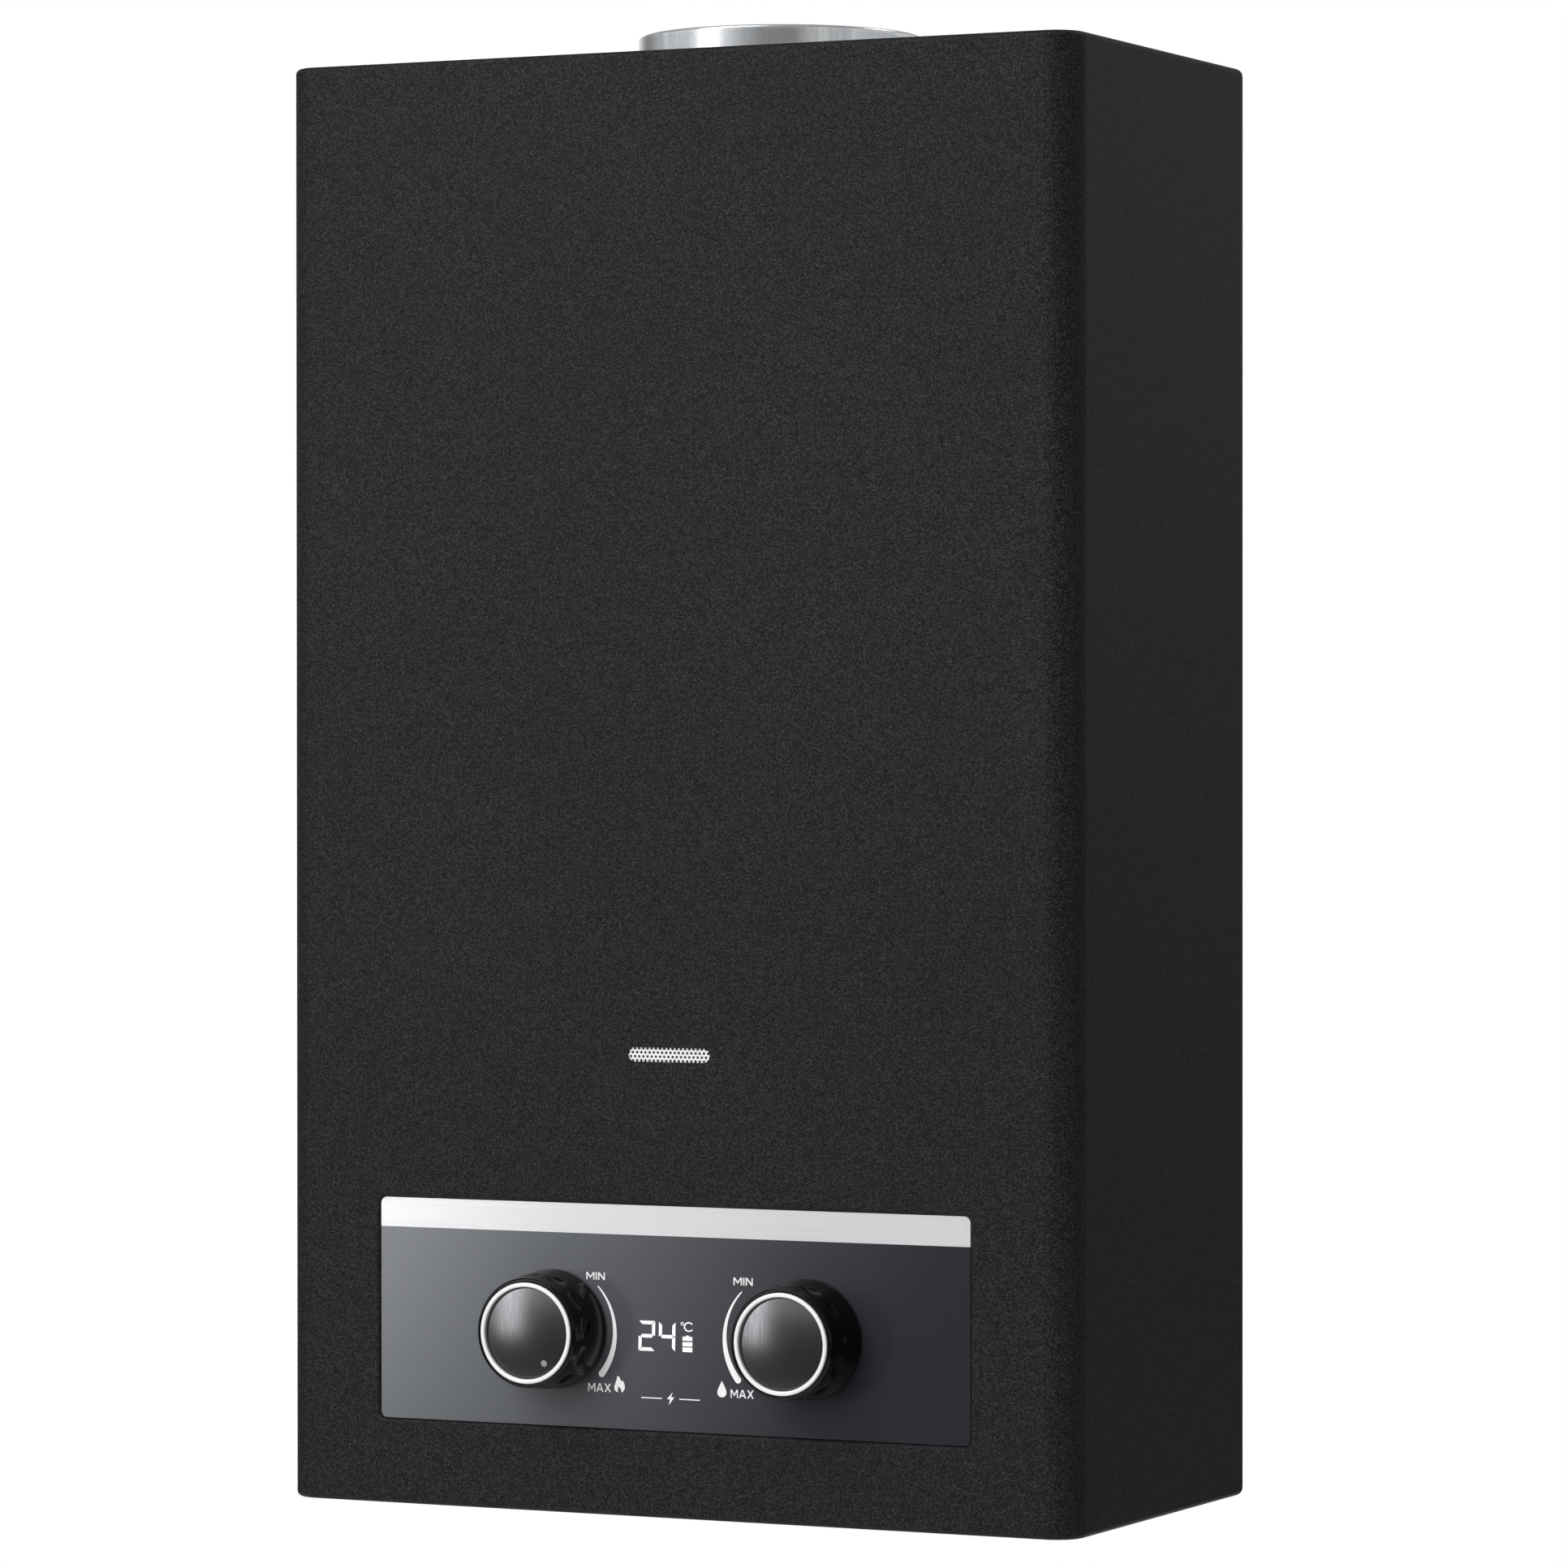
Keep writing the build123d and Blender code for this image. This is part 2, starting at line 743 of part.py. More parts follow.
# Control panel
with BuildPart() as control_fascia:
    with BuildSketch(Plane.XZ.offset(fascia_back)):
        with Locations((0, fascia_z)):
            RectangleRounded(fascia_width, fascia_height, fascia_radius)
        with Locations((gas_knob_x, knob_z), (water_knob_x, knob_z)):
            Circle(spindle_hole_radius, mode=Mode.SUBTRACT)
    extrude(amount=fascia_thickness)
    # Rebate for the silver band
    with BuildSketch(Plane.XZ.offset(fascia_front - band_thickness)):
        with Locations((0, fascia_top - band_height)):
            Rectangle(fascia_width + 2 * overrun, band_height + overrun, align=(Align.CENTER, Align.MIN))
    extrude(amount=band_thickness + overrun, mode=Mode.SUBTRACT)
save(control_fascia, "control_fascia")

with BuildPart() as fascia_band:
    with BuildSketch(Plane.XZ.offset(fascia_front - band_thickness)):
        with Locations((0, fascia_z)):
            RectangleRounded(fascia_width, fascia_height, fascia_radius)
        with Locations((0, fascia_top - band_height)):
            Rectangle(fascia_width, band_height, align=(Align.CENTER, Align.MIN), mode=Mode.INTERSECT)
    extrude(amount=band_thickness)
save(fascia_band, "fascia_band")

# Carrier frame behind the panel, with posts for the display board
with BuildPart() as fascia_carrier:
    with BuildSketch(Plane.XZ.offset(carrier_back)):
        with Locations((0, fascia_z)):
            RectangleRounded(
                opening_width + 2 * carrier_margin,
                opening_height + 2 * carrier_margin,
                opening_radius + carrier_margin,
            )
        with Locations((gas_knob_x, knob_z), (water_knob_x, knob_z)):
            Circle(spindle_hole_radius, mode=Mode.SUBTRACT)
        with Locations((display_x, display_z)):
            Rectangle(display_width + 2 * face_gap, display_height + 2 * face_gap, mode=Mode.SUBTRACT)
    extrude(amount=carrier_thickness)
    with BuildSketch(Plane.XZ.offset(board_front)):
        with Locations((display_x, display_z)):
            with GridLocations(
                board_width - 4 * standoff_radius, board_height - 4 * standoff_radius, 2, 2
            ):
                Circle(standoff_radius)
    extrude(amount=standoff_length)
save(fascia_carrier, "fascia_carrier")

with BuildPart() as display_module:
    with BuildSketch(Plane.XZ.offset(board_front - board_thickness)):
        with Locations((display_x, display_z)):
            Rectangle(board_width, board_height)
    extrude(amount=board_thickness)
    with BuildSketch(Plane.XZ.offset(board_front)):
        with Locations((display_x, display_z)):
            Rectangle(display_width, display_height)
    extrude(amount=fascia_back - display_gap - board_front)
save(display_module, "display_module")

# Perforated flame window plate, holes in staggered rows
with BuildPart() as sight_grille:
    with BuildSketch(Plane.XZ.offset(cabinet_depth - cover_sheet - grille_thickness)):
        with Locations((0, sight_z)):
            SlotOverall(sight_width + 2 * grille_margin, sight_height + 2 * grille_margin)
        for row in range(grille_rows):
            stagger = (row % 2 - 1 / 2) * grille_column_spacing / 2
            rise = (row - (grille_rows - 1) / 2) * grille_row_spacing
            with Locations((stagger, sight_z + rise)):
                with GridLocations(grille_column_spacing, grille_row_spacing, grille_columns, 1):
                    Circle(grille_hole_radius, mode=Mode.SUBTRACT)
    extrude(amount=grille_thickness)
save(sight_grille, "sight_grille")

# Knob and spindle, made once on the Y axis; both sets are alike
seat_floor = knob_depth - knob_seat_depth
seat_radius = ring_radius + knob_fit
dimple_reach = knob_radius + dimple_radius - dimple_depth - (knob_radius - knob_front_radius) / 2
spindle_start = spindle_bore_end + spindle_end_gap
spindle_end = knob_back + knob_recess_depth - spindle_end_gap
knob_plane = Plane(origin=(0, -knob_back, 0), x_dir=(1, 0, 0), z_dir=(0, -1, 0))
with BuildPart(knob_plane) as knob:
    Cone(knob_radius, knob_front_radius, knob_depth, align=(Align.CENTER, Align.CENTER, Align.MIN))
    fillet(knob.faces().sort_by(Axis.Y)[0].edges(), knob_round)
    with Locations((0, 0, dimple_rise)):
        with PolarLocations(dimple_reach, dimple_count, start_angle=dimple_start_angle):
            Sphere(dimple_radius, mode=Mode.SUBTRACT)
    with BuildSketch(knob_plane.offset(seat_floor)):
        Circle(seat_radius)
    extrude(amount=knob_seat_depth + overrun, mode=Mode.SUBTRACT)
    with BuildSketch(knob_plane):
        Circle(knob_front_radius - knob_skirt)
        Circle(knob_hub_radius, mode=Mode.SUBTRACT)
    extrude(amount=knob_recess_depth, mode=Mode.SUBTRACT)
    # Bore with a flat, to suit the spindle
    with BuildSketch(knob_plane):
        Circle(spindle_radius + spindle_fit)
        with Locations((0, spindle_flat)):
            Rectangle(2 * knob_hub_radius, 2 * (spindle_radius + spindle_fit), mode=Mode.INTERSECT)
    extrude(amount=knob_recess_depth, mode=Mode.SUBTRACT)
print(f"knob: {len(knob.faces().filter_by(GeomType.SPHERE))} dimples")

with BuildPart() as knob_ring:
    with BuildSketch(knob_plane.offset(seat_floor)):
        Circle(ring_radius)
        Circle(ring_bore, mode=Mode.SUBTRACT)
    extrude(amount=ring_height)
    fillet(knob_ring.faces().sort_by(Axis.Y)[0].edges(), ring_round)

with BuildPart() as knob_insert:
    with BuildSketch(knob_plane.offset(seat_floor)):
        Circle(ring_bore - knob_fit)
    extrude(amount=insert_height)

with BuildPart() as spindle:
    with BuildSketch(Plane.XZ.offset(spindle_start)):
        Circle(spindle_radius)
    extrude(amount=spindle_end - spindle_start)
    with BuildSketch(Plane.XZ.offset(knob_back)):
        with Locations((0, -spindle_radius + spindle_flat)):
            Rectangle(2 * spindle_radius, 2 * spindle_flat, align=(Align.CENTER, Align.MAX))
    extrude(amount=knob_recess_depth, mode=Mode.SUBTRACT)

knob_pieces = {"knob": knob, "knob_ring": knob_ring, "knob_insert": knob_insert, "spindle": spindle}
for side_name, side_x in (("gas", gas_knob_x), ("water", water_knob_x)):
    for piece_name, pattern in knob_pieces.items():
        with BuildPart() as placed:
            with Locations((side_x, 0, knob_z)):
                add(pattern.part)
        save(placed, f"{side_name}_{piece_name}")

# Gas section: casting with a main chamber along X, a solenoid chamber below and a spindle boss in front
with BuildPart() as gas_valve_body:
    with BuildSketch(Plane.XY.offset(gas_body_bottom)):
        with Locations((gas_knob_x, -valve_out)):
            RectangleRounded(gas_body_width, valve_depth, valve_corner_radius)
    extrude(amount=gas_body_top - gas_body_bottom)
    with BuildSketch(Plane.XZ.offset(valve_front)):
        with Locations((gas_knob_x, knob_z)):
            Circle(valve_boss_radius)
    extrude(amount=valve_boss_height)
    with BuildSketch(Plane.XZ.offset(spindle_bore_end)):
        with Locations((gas_knob_x, knob_z)):
            Circle(spindle_radius + spindle_fit)
    extrude(amount=spindle_bore_depth + overrun, mode=Mode.SUBTRACT)
    with BuildSketch(Plane.YZ.offset(gas_left - overrun)):
        with Locations((-valve_out, rod_z)):
            Circle(gas_chamber_radius)
    extrude(amount=gas_chamber_depth + overrun, mode=Mode.SUBTRACT)
    with BuildSketch(Plane.YZ.offset(gas_seat_x)):
        with Locations((-valve_out, rod_z)):
            Circle(gas_port_radius)
    extrude(amount=gas_port_length, mode=Mode.SUBTRACT)
    with BuildSketch(Plane.YZ.offset(gas_seat_x)):
        with Locations((-valve_out, rod_z)):
            Circle(rod_bore_radius)
    extrude(amount=gas_right - gas_seat_x + overrun, mode=Mode.SUBTRACT)
    # Inlet at the back, outlet at the top
    with BuildSketch(Plane.XZ.offset(valve_back)):
        with Locations((gas_knob_x, gas_inlet_z)):
            Circle(gas_passage_radius)
    extrude(amount=gas_passage_depth, mode=Mode.SUBTRACT)
    with BuildSketch(Plane.XY.offset(gas_body_top - gas_passage_depth)):
        with Locations((gas_knob_x, -manifold_out)):
            Circle(manifold_leg_bore)
    extrude(amount=gas_passage_depth + overrun, mode=Mode.SUBTRACT)
    # Solenoid chamber and its port up into the main chamber
    with BuildSketch(Plane.XY.offset(gas_body_bottom - overrun)):
        with Locations((gas_knob_x, -valve_out)):
            Circle(solenoid_chamber_radius)
    extrude(amount=solenoid_chamber_depth + overrun, mode=Mode.SUBTRACT)
    with BuildSketch(Plane.XY.offset(solenoid_seat_z)):
        with Locations((gas_knob_x, -valve_out)):
            Circle(solenoid_port_radius)
    extrude(amount=rod_z - solenoid_seat_z, mode=Mode.SUBTRACT)
    with Locations(*cap_screw_planes):
        Hole(screw_hole_radius, screw_length)
save(gas_valve_body, "gas_valve_body")

with BuildPart() as gas_valve_cap:
    with BuildSketch(Plane.YZ.offset(cap_left)):
        with Locations((-valve_out, rod_z)):
            RectangleRounded(cap_width, cap_width, valve_corner_radius)
    extrude(amount=cap_thickness)
    with BuildSketch(Plane.YZ.offset(gas_left)):
        with Locations((-valve_out, rod_z)):
            Circle(gas_chamber_radius - cap_fit)
    extrude(amount=cap_spigot)
    with Locations(*cap_screw_planes):
        Hole(screw_hole_radius, screw_length)
save(gas_valve_cap, "gas_valve_cap")

with BuildPart() as gas_valve_disc:
    with BuildSketch(Plane.YZ.offset(gas_disc_left)):
        with Locations((-valve_out, rod_z)):
            Circle(gas_disc_radius)
    extrude(amount=gas_disc_thickness)
save(gas_valve_disc, "gas_valve_disc")

# Return spring between the cap and the gas disc: quarter turns of one unbroken wire
spring_start = gas_left + cap_spigot + spring_wire_radius + rod_fit
spring_end = gas_disc_left - spring_wire_radius - rod_fit
spring_quarters = 4 * spring_turns


def spring_point(quarters):
    """Point of the spring's centre line, so many quarter turns from its start."""
    angle = quarters * pi / 2
    return (
        spring_start + (spring_end - spring_start) * quarters / spring_quarters,
        -valve_out + spring_radius * cos(angle),
        rod_z + spring_radius * sin(angle),
    )


with BuildPart() as gas_return_spring:
    with BuildLine() as spring_route:
        for quarter in range(spring_quarters):
            ThreePointArc(spring_point(quarter), spring_point(quarter + 1 / 2), spring_point(quarter + 1))
    with BuildSketch(Plane(origin=spring_route.line @ 0, z_dir=spring_route.line % 0)):
        Circle(spring_wire_radius)
    sweep(path=spring_route.line)
save(gas_return_spring, "gas_return_spring")
spring_gap = (spring_end - spring_start) / spring_turns - 2 * spring_wire_radius
print(f"return spring: gap between turns {spring_gap:.2f} mm")

# Solenoid coil and its plunger
with BuildPart() as solenoid_coil:
    with BuildSketch(Plane.XY.offset(gas_body_bottom - solenoid_flange_thickness)):
        with Locations((gas_knob_x, -valve_out)):
            RectangleRounded(solenoid_flange_width, solenoid_flange_width, valve_corner_radius)
    extrude(amount=solenoid_flange_thickness)
    with BuildSketch(Plane.XY.offset(solenoid_bottom)):
        with Locations((gas_knob_x, -valve_out)):
            Circle(solenoid_radius)
    extrude(amount=solenoid_height)
    fillet(solenoid_coil.faces().sort_by(Axis.Z)[0].edges(), rim_round)
    with BuildSketch(Plane.XY.offset(plunger_bore_bottom)):
        with Locations((gas_knob_x, -valve_out)):
            Circle(plunger_radius + plunger_fit)
    extrude(amount=gas_body_bottom - plunger_bore_bottom + overrun, mode=Mode.SUBTRACT)
save(solenoid_coil, "solenoid_coil")

plunger_bottom = plunger_bore_bottom + plunger_travel + plunger_end_gap
plunger_top = solenoid_seat_z - gas_seat_gap
with BuildPart() as solenoid_plunger:
    with BuildSketch(Plane.XY.offset(plunger_bottom)):
        with Locations((gas_knob_x, -valve_out)):
            Circle(plunger_radius)
    extrude(amount=plunger_top - plunger_bottom)
    with BuildSketch(Plane.XY.offset(plunger_top - plunger_disc_thickness)):
        with Locations((gas_knob_x, -valve_out)):
            Circle(plunger_disc_radius)
    extrude(amount=plunger_disc_thickness)
save(solenoid_plunger, "solenoid_plunger")

# Water section: block with a round half housing on its left
with BuildPart() as water_valve_body:
    with BuildSketch(Plane.XY.offset(water_body_bottom)):
        with Locations((water_knob_x, -valve_out)):
            RectangleRounded(water_body_width, valve_depth, valve_corner_radius)
    extrude(amount=water_body_top - water_body_bottom)
    with BuildSketch(Plane.YZ.offset(diaphragm_right)):
        with Locations((-valve_out, rod_z)):
            Circle(housing_radius)
    extrude(amount=housing_flange)
    with BuildSketch(Plane.YZ.offset(diaphragm_right)):
        with Locations((-valve_out, rod_z)):
            Circle(housing_dome_radius)
    extrude(amount=housing_reach + valve_corner_radius)
    with BuildSketch(Plane.YZ.offset(diaphragm_right - overrun)):
        with Locations((-valve_out, rod_z)):
            Circle(housing_chamber_radius)
    extrude(amount=housing_dome + overrun, mode=Mode.SUBTRACT)
    with BuildSketch(Plane.XZ.offset(valve_front)):
        with Locations((water_knob_x, knob_z)):
            Circle(valve_boss_radius)
    extrude(amount=valve_boss_height)
    with BuildSketch(Plane.XZ.offset(spindle_bore_end)):
        with Locations((water_knob_x, knob_z)):
            Circle(spindle_radius + spindle_fit)
    extrude(amount=spindle_bore_depth + overrun, mode=Mode.SUBTRACT)
    # Inlet at the back, outlet on the right, drain hole underneath
    with BuildSketch(Plane.XZ.offset(valve_back)):
        with Locations((water_knob_x, water_inlet_z)):
            Circle(water_passage_radius)
    extrude(amount=water_passage_depth, mode=Mode.SUBTRACT)
    with BuildSketch(Plane.YZ.offset(water_right - water_passage_depth)):
        with Locations((-valve_out, water_outlet_z)):
            Circle(water_passage_radius)
    extrude(amount=water_passage_depth + overrun, mode=Mode.SUBTRACT)
    with BuildSketch(Plane.XY.offset(water_body_bottom - overrun)):
        with Locations((water_knob_x, -valve_out - plug_shift)):
            Circle(plug_radius + plug_fit)
    extrude(amount=plug_depth + overrun, mode=Mode.SUBTRACT)
    with Locations(*housing_screw_planes):
        Hole(screw_hole_radius, screw_length)
save(water_valve_body, "water_valve_body")

with BuildPart() as water_valve_cover:
    with BuildSketch(Plane.YZ.offset(housing_flange_left)):
        with Locations((-valve_out, rod_z)):
            Circle(housing_radius)
    extrude(amount=housing_flange)
    with BuildSketch(Plane.YZ.offset(housing_left)):
        with Locations((-valve_out, rod_z)):
            Circle(housing_dome_radius)
    extrude(amount=housing_dome)
    with BuildSketch(Plane.YZ.offset(gland_left)):
        with Locations((-valve_out, rod_z)):
            Circle(gland_radius)
    extrude(amount=gland_length)
    with BuildSketch(Plane.YZ.offset(diaphragm_left - housing_flange - housing_dome / 2)):
        with Locations((-valve_out, rod_z)):
            Circle(housing_chamber_radius)
    extrude(amount=housing_flange + housing_dome / 2 + overrun, mode=Mode.SUBTRACT)
    with BuildSketch(Plane.YZ.offset(gland_left - overrun)):
        with Locations((-valve_out, rod_z)):
            Circle(rod_bore_radius)
    extrude(amount=gland_length + housing_dome + overrun, mode=Mode.SUBTRACT)
    with Locations(*housing_screw_planes):
        Hole(screw_hole_radius, screw_length)
save(water_valve_cover, "water_valve_cover")

with BuildPart() as water_diaphragm:
    with BuildSketch(Plane.YZ.offset(diaphragm_left)):
        with Locations((-valve_out, rod_z)):
            Circle(diaphragm_radius)
    extrude(amount=diaphragm_thickness)
    with Locations(*housing_screw_planes):
        Hole(screw_hole_radius, screw_length)
save(water_diaphragm, "water_diaphragm")

# Push rod: pressure plate, rod and switch collar in one
rod_plate_right = diaphragm_left - face_gap
with BuildPart() as push_rod:
    with BuildSketch(Plane.YZ.offset(gas_disc_right)):
        with Locations((-valve_out, rod_z)):
            Circle(rod_radius)
    extrude(amount=rod_plate_right - gas_disc_right)
    with BuildSketch(Plane.YZ.offset(rod_plate_right - rod_plate_thickness)):
        with Locations((-valve_out, rod_z)):
            Circle(rod_plate_radius)
    extrude(amount=rod_plate_thickness)
    with BuildSketch(Plane.YZ.offset(rod_collar_left)):
        with Locations((-valve_out, rod_z)):
            Circle(rod_collar_radius)
    extrude(amount=rod_collar_length)
save(push_rod, "push_rod")

with BuildPart() as drain_plug:
    with BuildSketch(Plane.XY.offset(water_body_bottom - plug_head)):
        with Locations((water_knob_x, -valve_out - plug_shift)):
            RegularPolygon(plug_across_flats / 2, 6, major_radius=False)
    extrude(amount=plug_head)
    with BuildSketch(Plane.XY.offset(water_body_bottom)):
        with Locations((water_knob_x, -valve_out - plug_shift)):
            Circle(plug_radius)
    extrude(amount=plug_depth - face_gap)
save(drain_plug, "drain_plug")

# Micro switch, hanging from a bracket on the gas section, with two ears and a pin for its lever
with BuildPart() as switch_bracket:
    with BuildSketch(Plane.XY.offset(gas_body_top)):
        with Locations((gas_right - bracket_reach, -valve_out)):
            Rectangle(
                switch_right - gas_right + bracket_reach, bracket_width, align=(Align.MIN, Align.CENTER)
            )
    extrude(amount=bracket_thickness)
save(switch_bracket, "switch_bracket")

ear_inside = lever_width / 2 + lever_side_gap
with BuildPart() as microswitch:
    with BuildSketch(Plane.XZ.offset(valve_out - ear_inside - switch_ear)):
        with Locations((switch_right, gas_body_top)):
            Rectangle(switch_length, switch_height, align=(Align.MAX, Align.MAX))
    extrude(amount=2 * (ear_inside + switch_ear))
    for ear_out in (valve_out - ear_inside - switch_ear, valve_out + ear_inside):
        with BuildSketch(Plane.XZ.offset(ear_out)):
            with Locations((switch_right, gas_body_top)):
                Rectangle(
                    pivot_x + lever_eye_radius - switch_right,
                    pivot_drop + lever_eye_radius,
                    align=(Align.MIN, Align.MAX),
                )
        extrude(amount=switch_ear)
    with BuildSketch(Plane.XZ.offset(valve_out - ear_inside)):
        with Locations((pivot_x, pivot_z)):
            Circle(lever_pin_radius)
    extrude(amount=2 * ear_inside)
save(microswitch, "microswitch")

with BuildPart() as switch_lever:
    with BuildSketch(Plane.XZ.offset(valve_out - lever_width / 2)):
        with Locations((pivot_x, pivot_z)):
            Circle(lever_eye_radius)
            Rectangle(lever_thickness, pivot_z - lever_bottom, align=(Align.CENTER, Align.MAX))
            Circle(lever_pin_radius + lever_pin_fit, mode=Mode.SUBTRACT)
    extrude(amount=lever_width)
save(switch_lever, "switch_lever")

# Burner frame: open box with bottom ledges for the blades, screw flanges and two arms to the back plate
blade_xs = [(index - (blade_count - 1) / 2) * blade_spacing for index in range(blade_count)]
with BuildPart() as burner_frame:
    with BuildSketch(Plane.XY.offset(burner_bottom)):
        with Locations((0, -exchanger_out)):
            Rectangle(exchanger_width, exchanger_depth)
    extrude(amount=burner_height)
    with BuildSketch(Plane.XY.offset(burner_top - burner_sheet)):
        with Locations((0, -exchanger_out)):
            Rectangle(exchanger_width - 2 * shell_corner, exchanger_depth + 2 * burner_flange)
    extrude(amount=burner_sheet)
    with BuildSketch(Plane.XY.offset(blade_bottom)):
        with Locations((0, -exchanger_out)):
            Rectangle(exchanger_width - 2 * burner_sheet, exchanger_depth - 2 * burner_sheet)
    extrude(amount=burner_height + overrun, mode=Mode.SUBTRACT)
    with BuildSketch(Plane.XY.offset(burner_bottom - overrun)):
        with Locations((0, -exchanger_out)):
            Rectangle(
                exchanger_width - 2 * burner_sheet, exchanger_depth - 2 * (burner_sheet + burner_ledge)
            )
    extrude(amount=burner_sheet + 2 * overrun, mode=Mode.SUBTRACT)
    with BuildSketch(Plane.XZ.offset(exchanger_front - burner_sheet - overrun)):
        with Locations(*[(x, nozzle_z) for x in blade_xs]):
            Circle(nozzle_radius + nozzle_window)
    extrude(amount=burner_sheet + 2 * overrun, mode=Mode.SUBTRACT)
    arm_z = burner_bottom + burner_height / 2
    with BuildSketch(Plane.XZ.offset(tray_sheet)):
        with Locations((-burner_arm_x, arm_z), (burner_arm_x, arm_z)):
            Rectangle(burner_arm_width, burner_arm_height)
    extrude(amount=burner_arm_foot)
    with BuildSketch(Plane.XZ.offset(tray_sheet)):
        with Locations((-burner_arm_x, arm_z), (burner_arm_x, arm_z)):
            Rectangle(burner_arm_web, burner_arm_height)
    extrude(amount=exchanger_back - tray_sheet + burner_sheet / 2)
    with Locations(*flange_screw_planes):
        Hole(screw_hole_radius, screw_length)
save(burner_frame, "burner_frame")

# Burner blades: a gas and air tube below, a row of flame ports along the top
blade_length = exchanger_depth - 2 * (burner_sheet + face_gap)
with BuildPart() as blade:
    with BuildSketch(Plane.YZ.offset(-blade_width / 2)) as blade_side:
        with Locations((-exchanger_out, (blade_bottom + blade_top) / 2)):
            Rectangle(blade_length, blade_top - blade_bottom)
        fillet(blade_side.vertices().group_by(Axis.X)[-1], blade_round)
        with Locations((-exchanger_out - blade_length / 2, nozzle_z + blade_slot_rise)):
            SlotOverall(2 * blade_slot_length, blade_slot_height, mode=Mode.SUBTRACT)
    extrude(amount=blade_width)
    with BuildSketch(Plane.XY.offset(blade_top - blade_groove_depth)):
        with Locations((0, -exchanger_out - blade_length / 2 + blade_groove_end)):
            Rectangle(
                blade_groove_width,
                blade_length - 2 * blade_groove_end - blade_round,
                align=(Align.CENTER, Align.MIN),
            )
    extrude(amount=blade_groove_depth + overrun, mode=Mode.SUBTRACT)
    with BuildSketch(Plane.XZ.offset(exchanger_out + blade_length / 2 - venturi_depth)):
        with Locations((0, nozzle_z)):
            Circle(venturi_radius)
    extrude(amount=venturi_depth + overrun, mode=Mode.SUBTRACT)
with BuildPart() as burner_blades:
    with Locations(*[(x, 0, 0) for x in blade_xs]):
        add(blade.part)
save(burner_blades, "burner_blades")

# Gas manifold: bored bar with a leg down to the gas section and two ears on the burner frame
with BuildPart() as gas_manifold:
    with BuildSketch(Plane.YZ.offset(-manifold_length / 2)):
        with Locations((-manifold_out, nozzle_z)):
            RectangleRounded(manifold_depth, manifold_height, manifold_round)
    extrude(amount=manifold_length)
    with BuildSketch(Plane.XY.offset(gas_body_top)):
        with Locations((gas_knob_x, -manifold_out)):
            Circle(manifold_leg_radius)
    extrude(amount=nozzle_z - gas_body_top)
    with BuildSketch(Plane.XZ.offset(exchanger_front)):
        ear_x = (manifold_length - manifold_ear_width) / 2
        with Locations((-ear_x, nozzle_z), (ear_x, nozzle_z)):
            Rectangle(manifold_ear_width, manifold_height - 2 * manifold_round)
    extrude(amount=manifold_gap + manifold_depth / 2)
    bore_length = manifold_length - 2 * manifold_ear_width
    with BuildSketch(Plane.YZ.offset(-bore_length / 2)):
        with Locations((-manifold_out, nozzle_z)):
            Circle(manifold_bore)
    extrude(amount=bore_length, mode=Mode.SUBTRACT)
    with BuildSketch(Plane.XY.offset(gas_body_top - overrun)):
        with Locations((gas_knob_x, -manifold_out)):
            Circle(manifold_leg_bore)
    extrude(amount=nozzle_z - gas_body_top + overrun, mode=Mode.SUBTRACT)
save(gas_manifold, "gas_manifold")

with BuildPart() as nozzle:
    with BuildSketch(Plane.XZ.offset(manifold_back - nozzle_length)):
        with Locations((0, nozzle_z)):
            Circle(nozzle_radius)
    extrude(amount=nozzle_length)
    with BuildSketch(Plane.XZ.offset(manifold_back - nozzle_length - nozzle_tip_length)):
        with Locations((0, nozzle_z)):
            Circle(nozzle_tip_radius)
    extrude(amount=nozzle_tip_length)
with BuildPart() as gas_nozzles:
    with Locations(*[(x, 0, 0) for x in blade_xs]):
        add(nozzle.part)
save(gas_nozzles, "gas_nozzles")

# Electrodes: a plate on the shell's front carries two ceramics, each with a bent metal tip
with BuildPart() as electrode_bracket:
    with BuildSketch(Plane.XZ.offset(exchanger_front)):
        with Locations((0, electrode_z)):
            RectangleRounded(electrode_plate_width, electrode_plate_height, electrode_plate_sheet)
        with Locations((-electrode_x, electrode_z), (electrode_x, electrode_z)):
            Circle(ceramic_radius + ceramic_fit, mode=Mode.SUBTRACT)
    extrude(amount=electrode_plate_sheet)
    with Locations(*electrode_screw_planes):
        Hole(screw_hole_radius, screw_length)
save(electrode_bracket, "electrode_bracket")

with BuildPart() as electrode_ceramics:
    with BuildSketch(Plane.XZ.offset(ceramic_back)):
        with Locations((-electrode_x, electrode_z), (electrode_x, electrode_z)):
            Circle(ceramic_radius)
    extrude(amount=ceramic_front - ceramic_back)
save(electrode_ceramics, "electrode_ceramics")

tip = bent_tube(
    [
        (0, -ceramic_back, electrode_z),
        (0, -ceramic_back + rod_tip_reach, electrode_z),
        (0, -ceramic_back + rod_tip_reach, electrode_z - rod_tip_drop),
    ],
    rod_tip_bend,
    rod_tip_radius,
)
with BuildPart() as electrode_rods:
    with Locations((-electrode_x, 0, 0), (electrode_x, 0, 0)):
        add(tip.part)
save(electrode_rods, "electrode_rods")

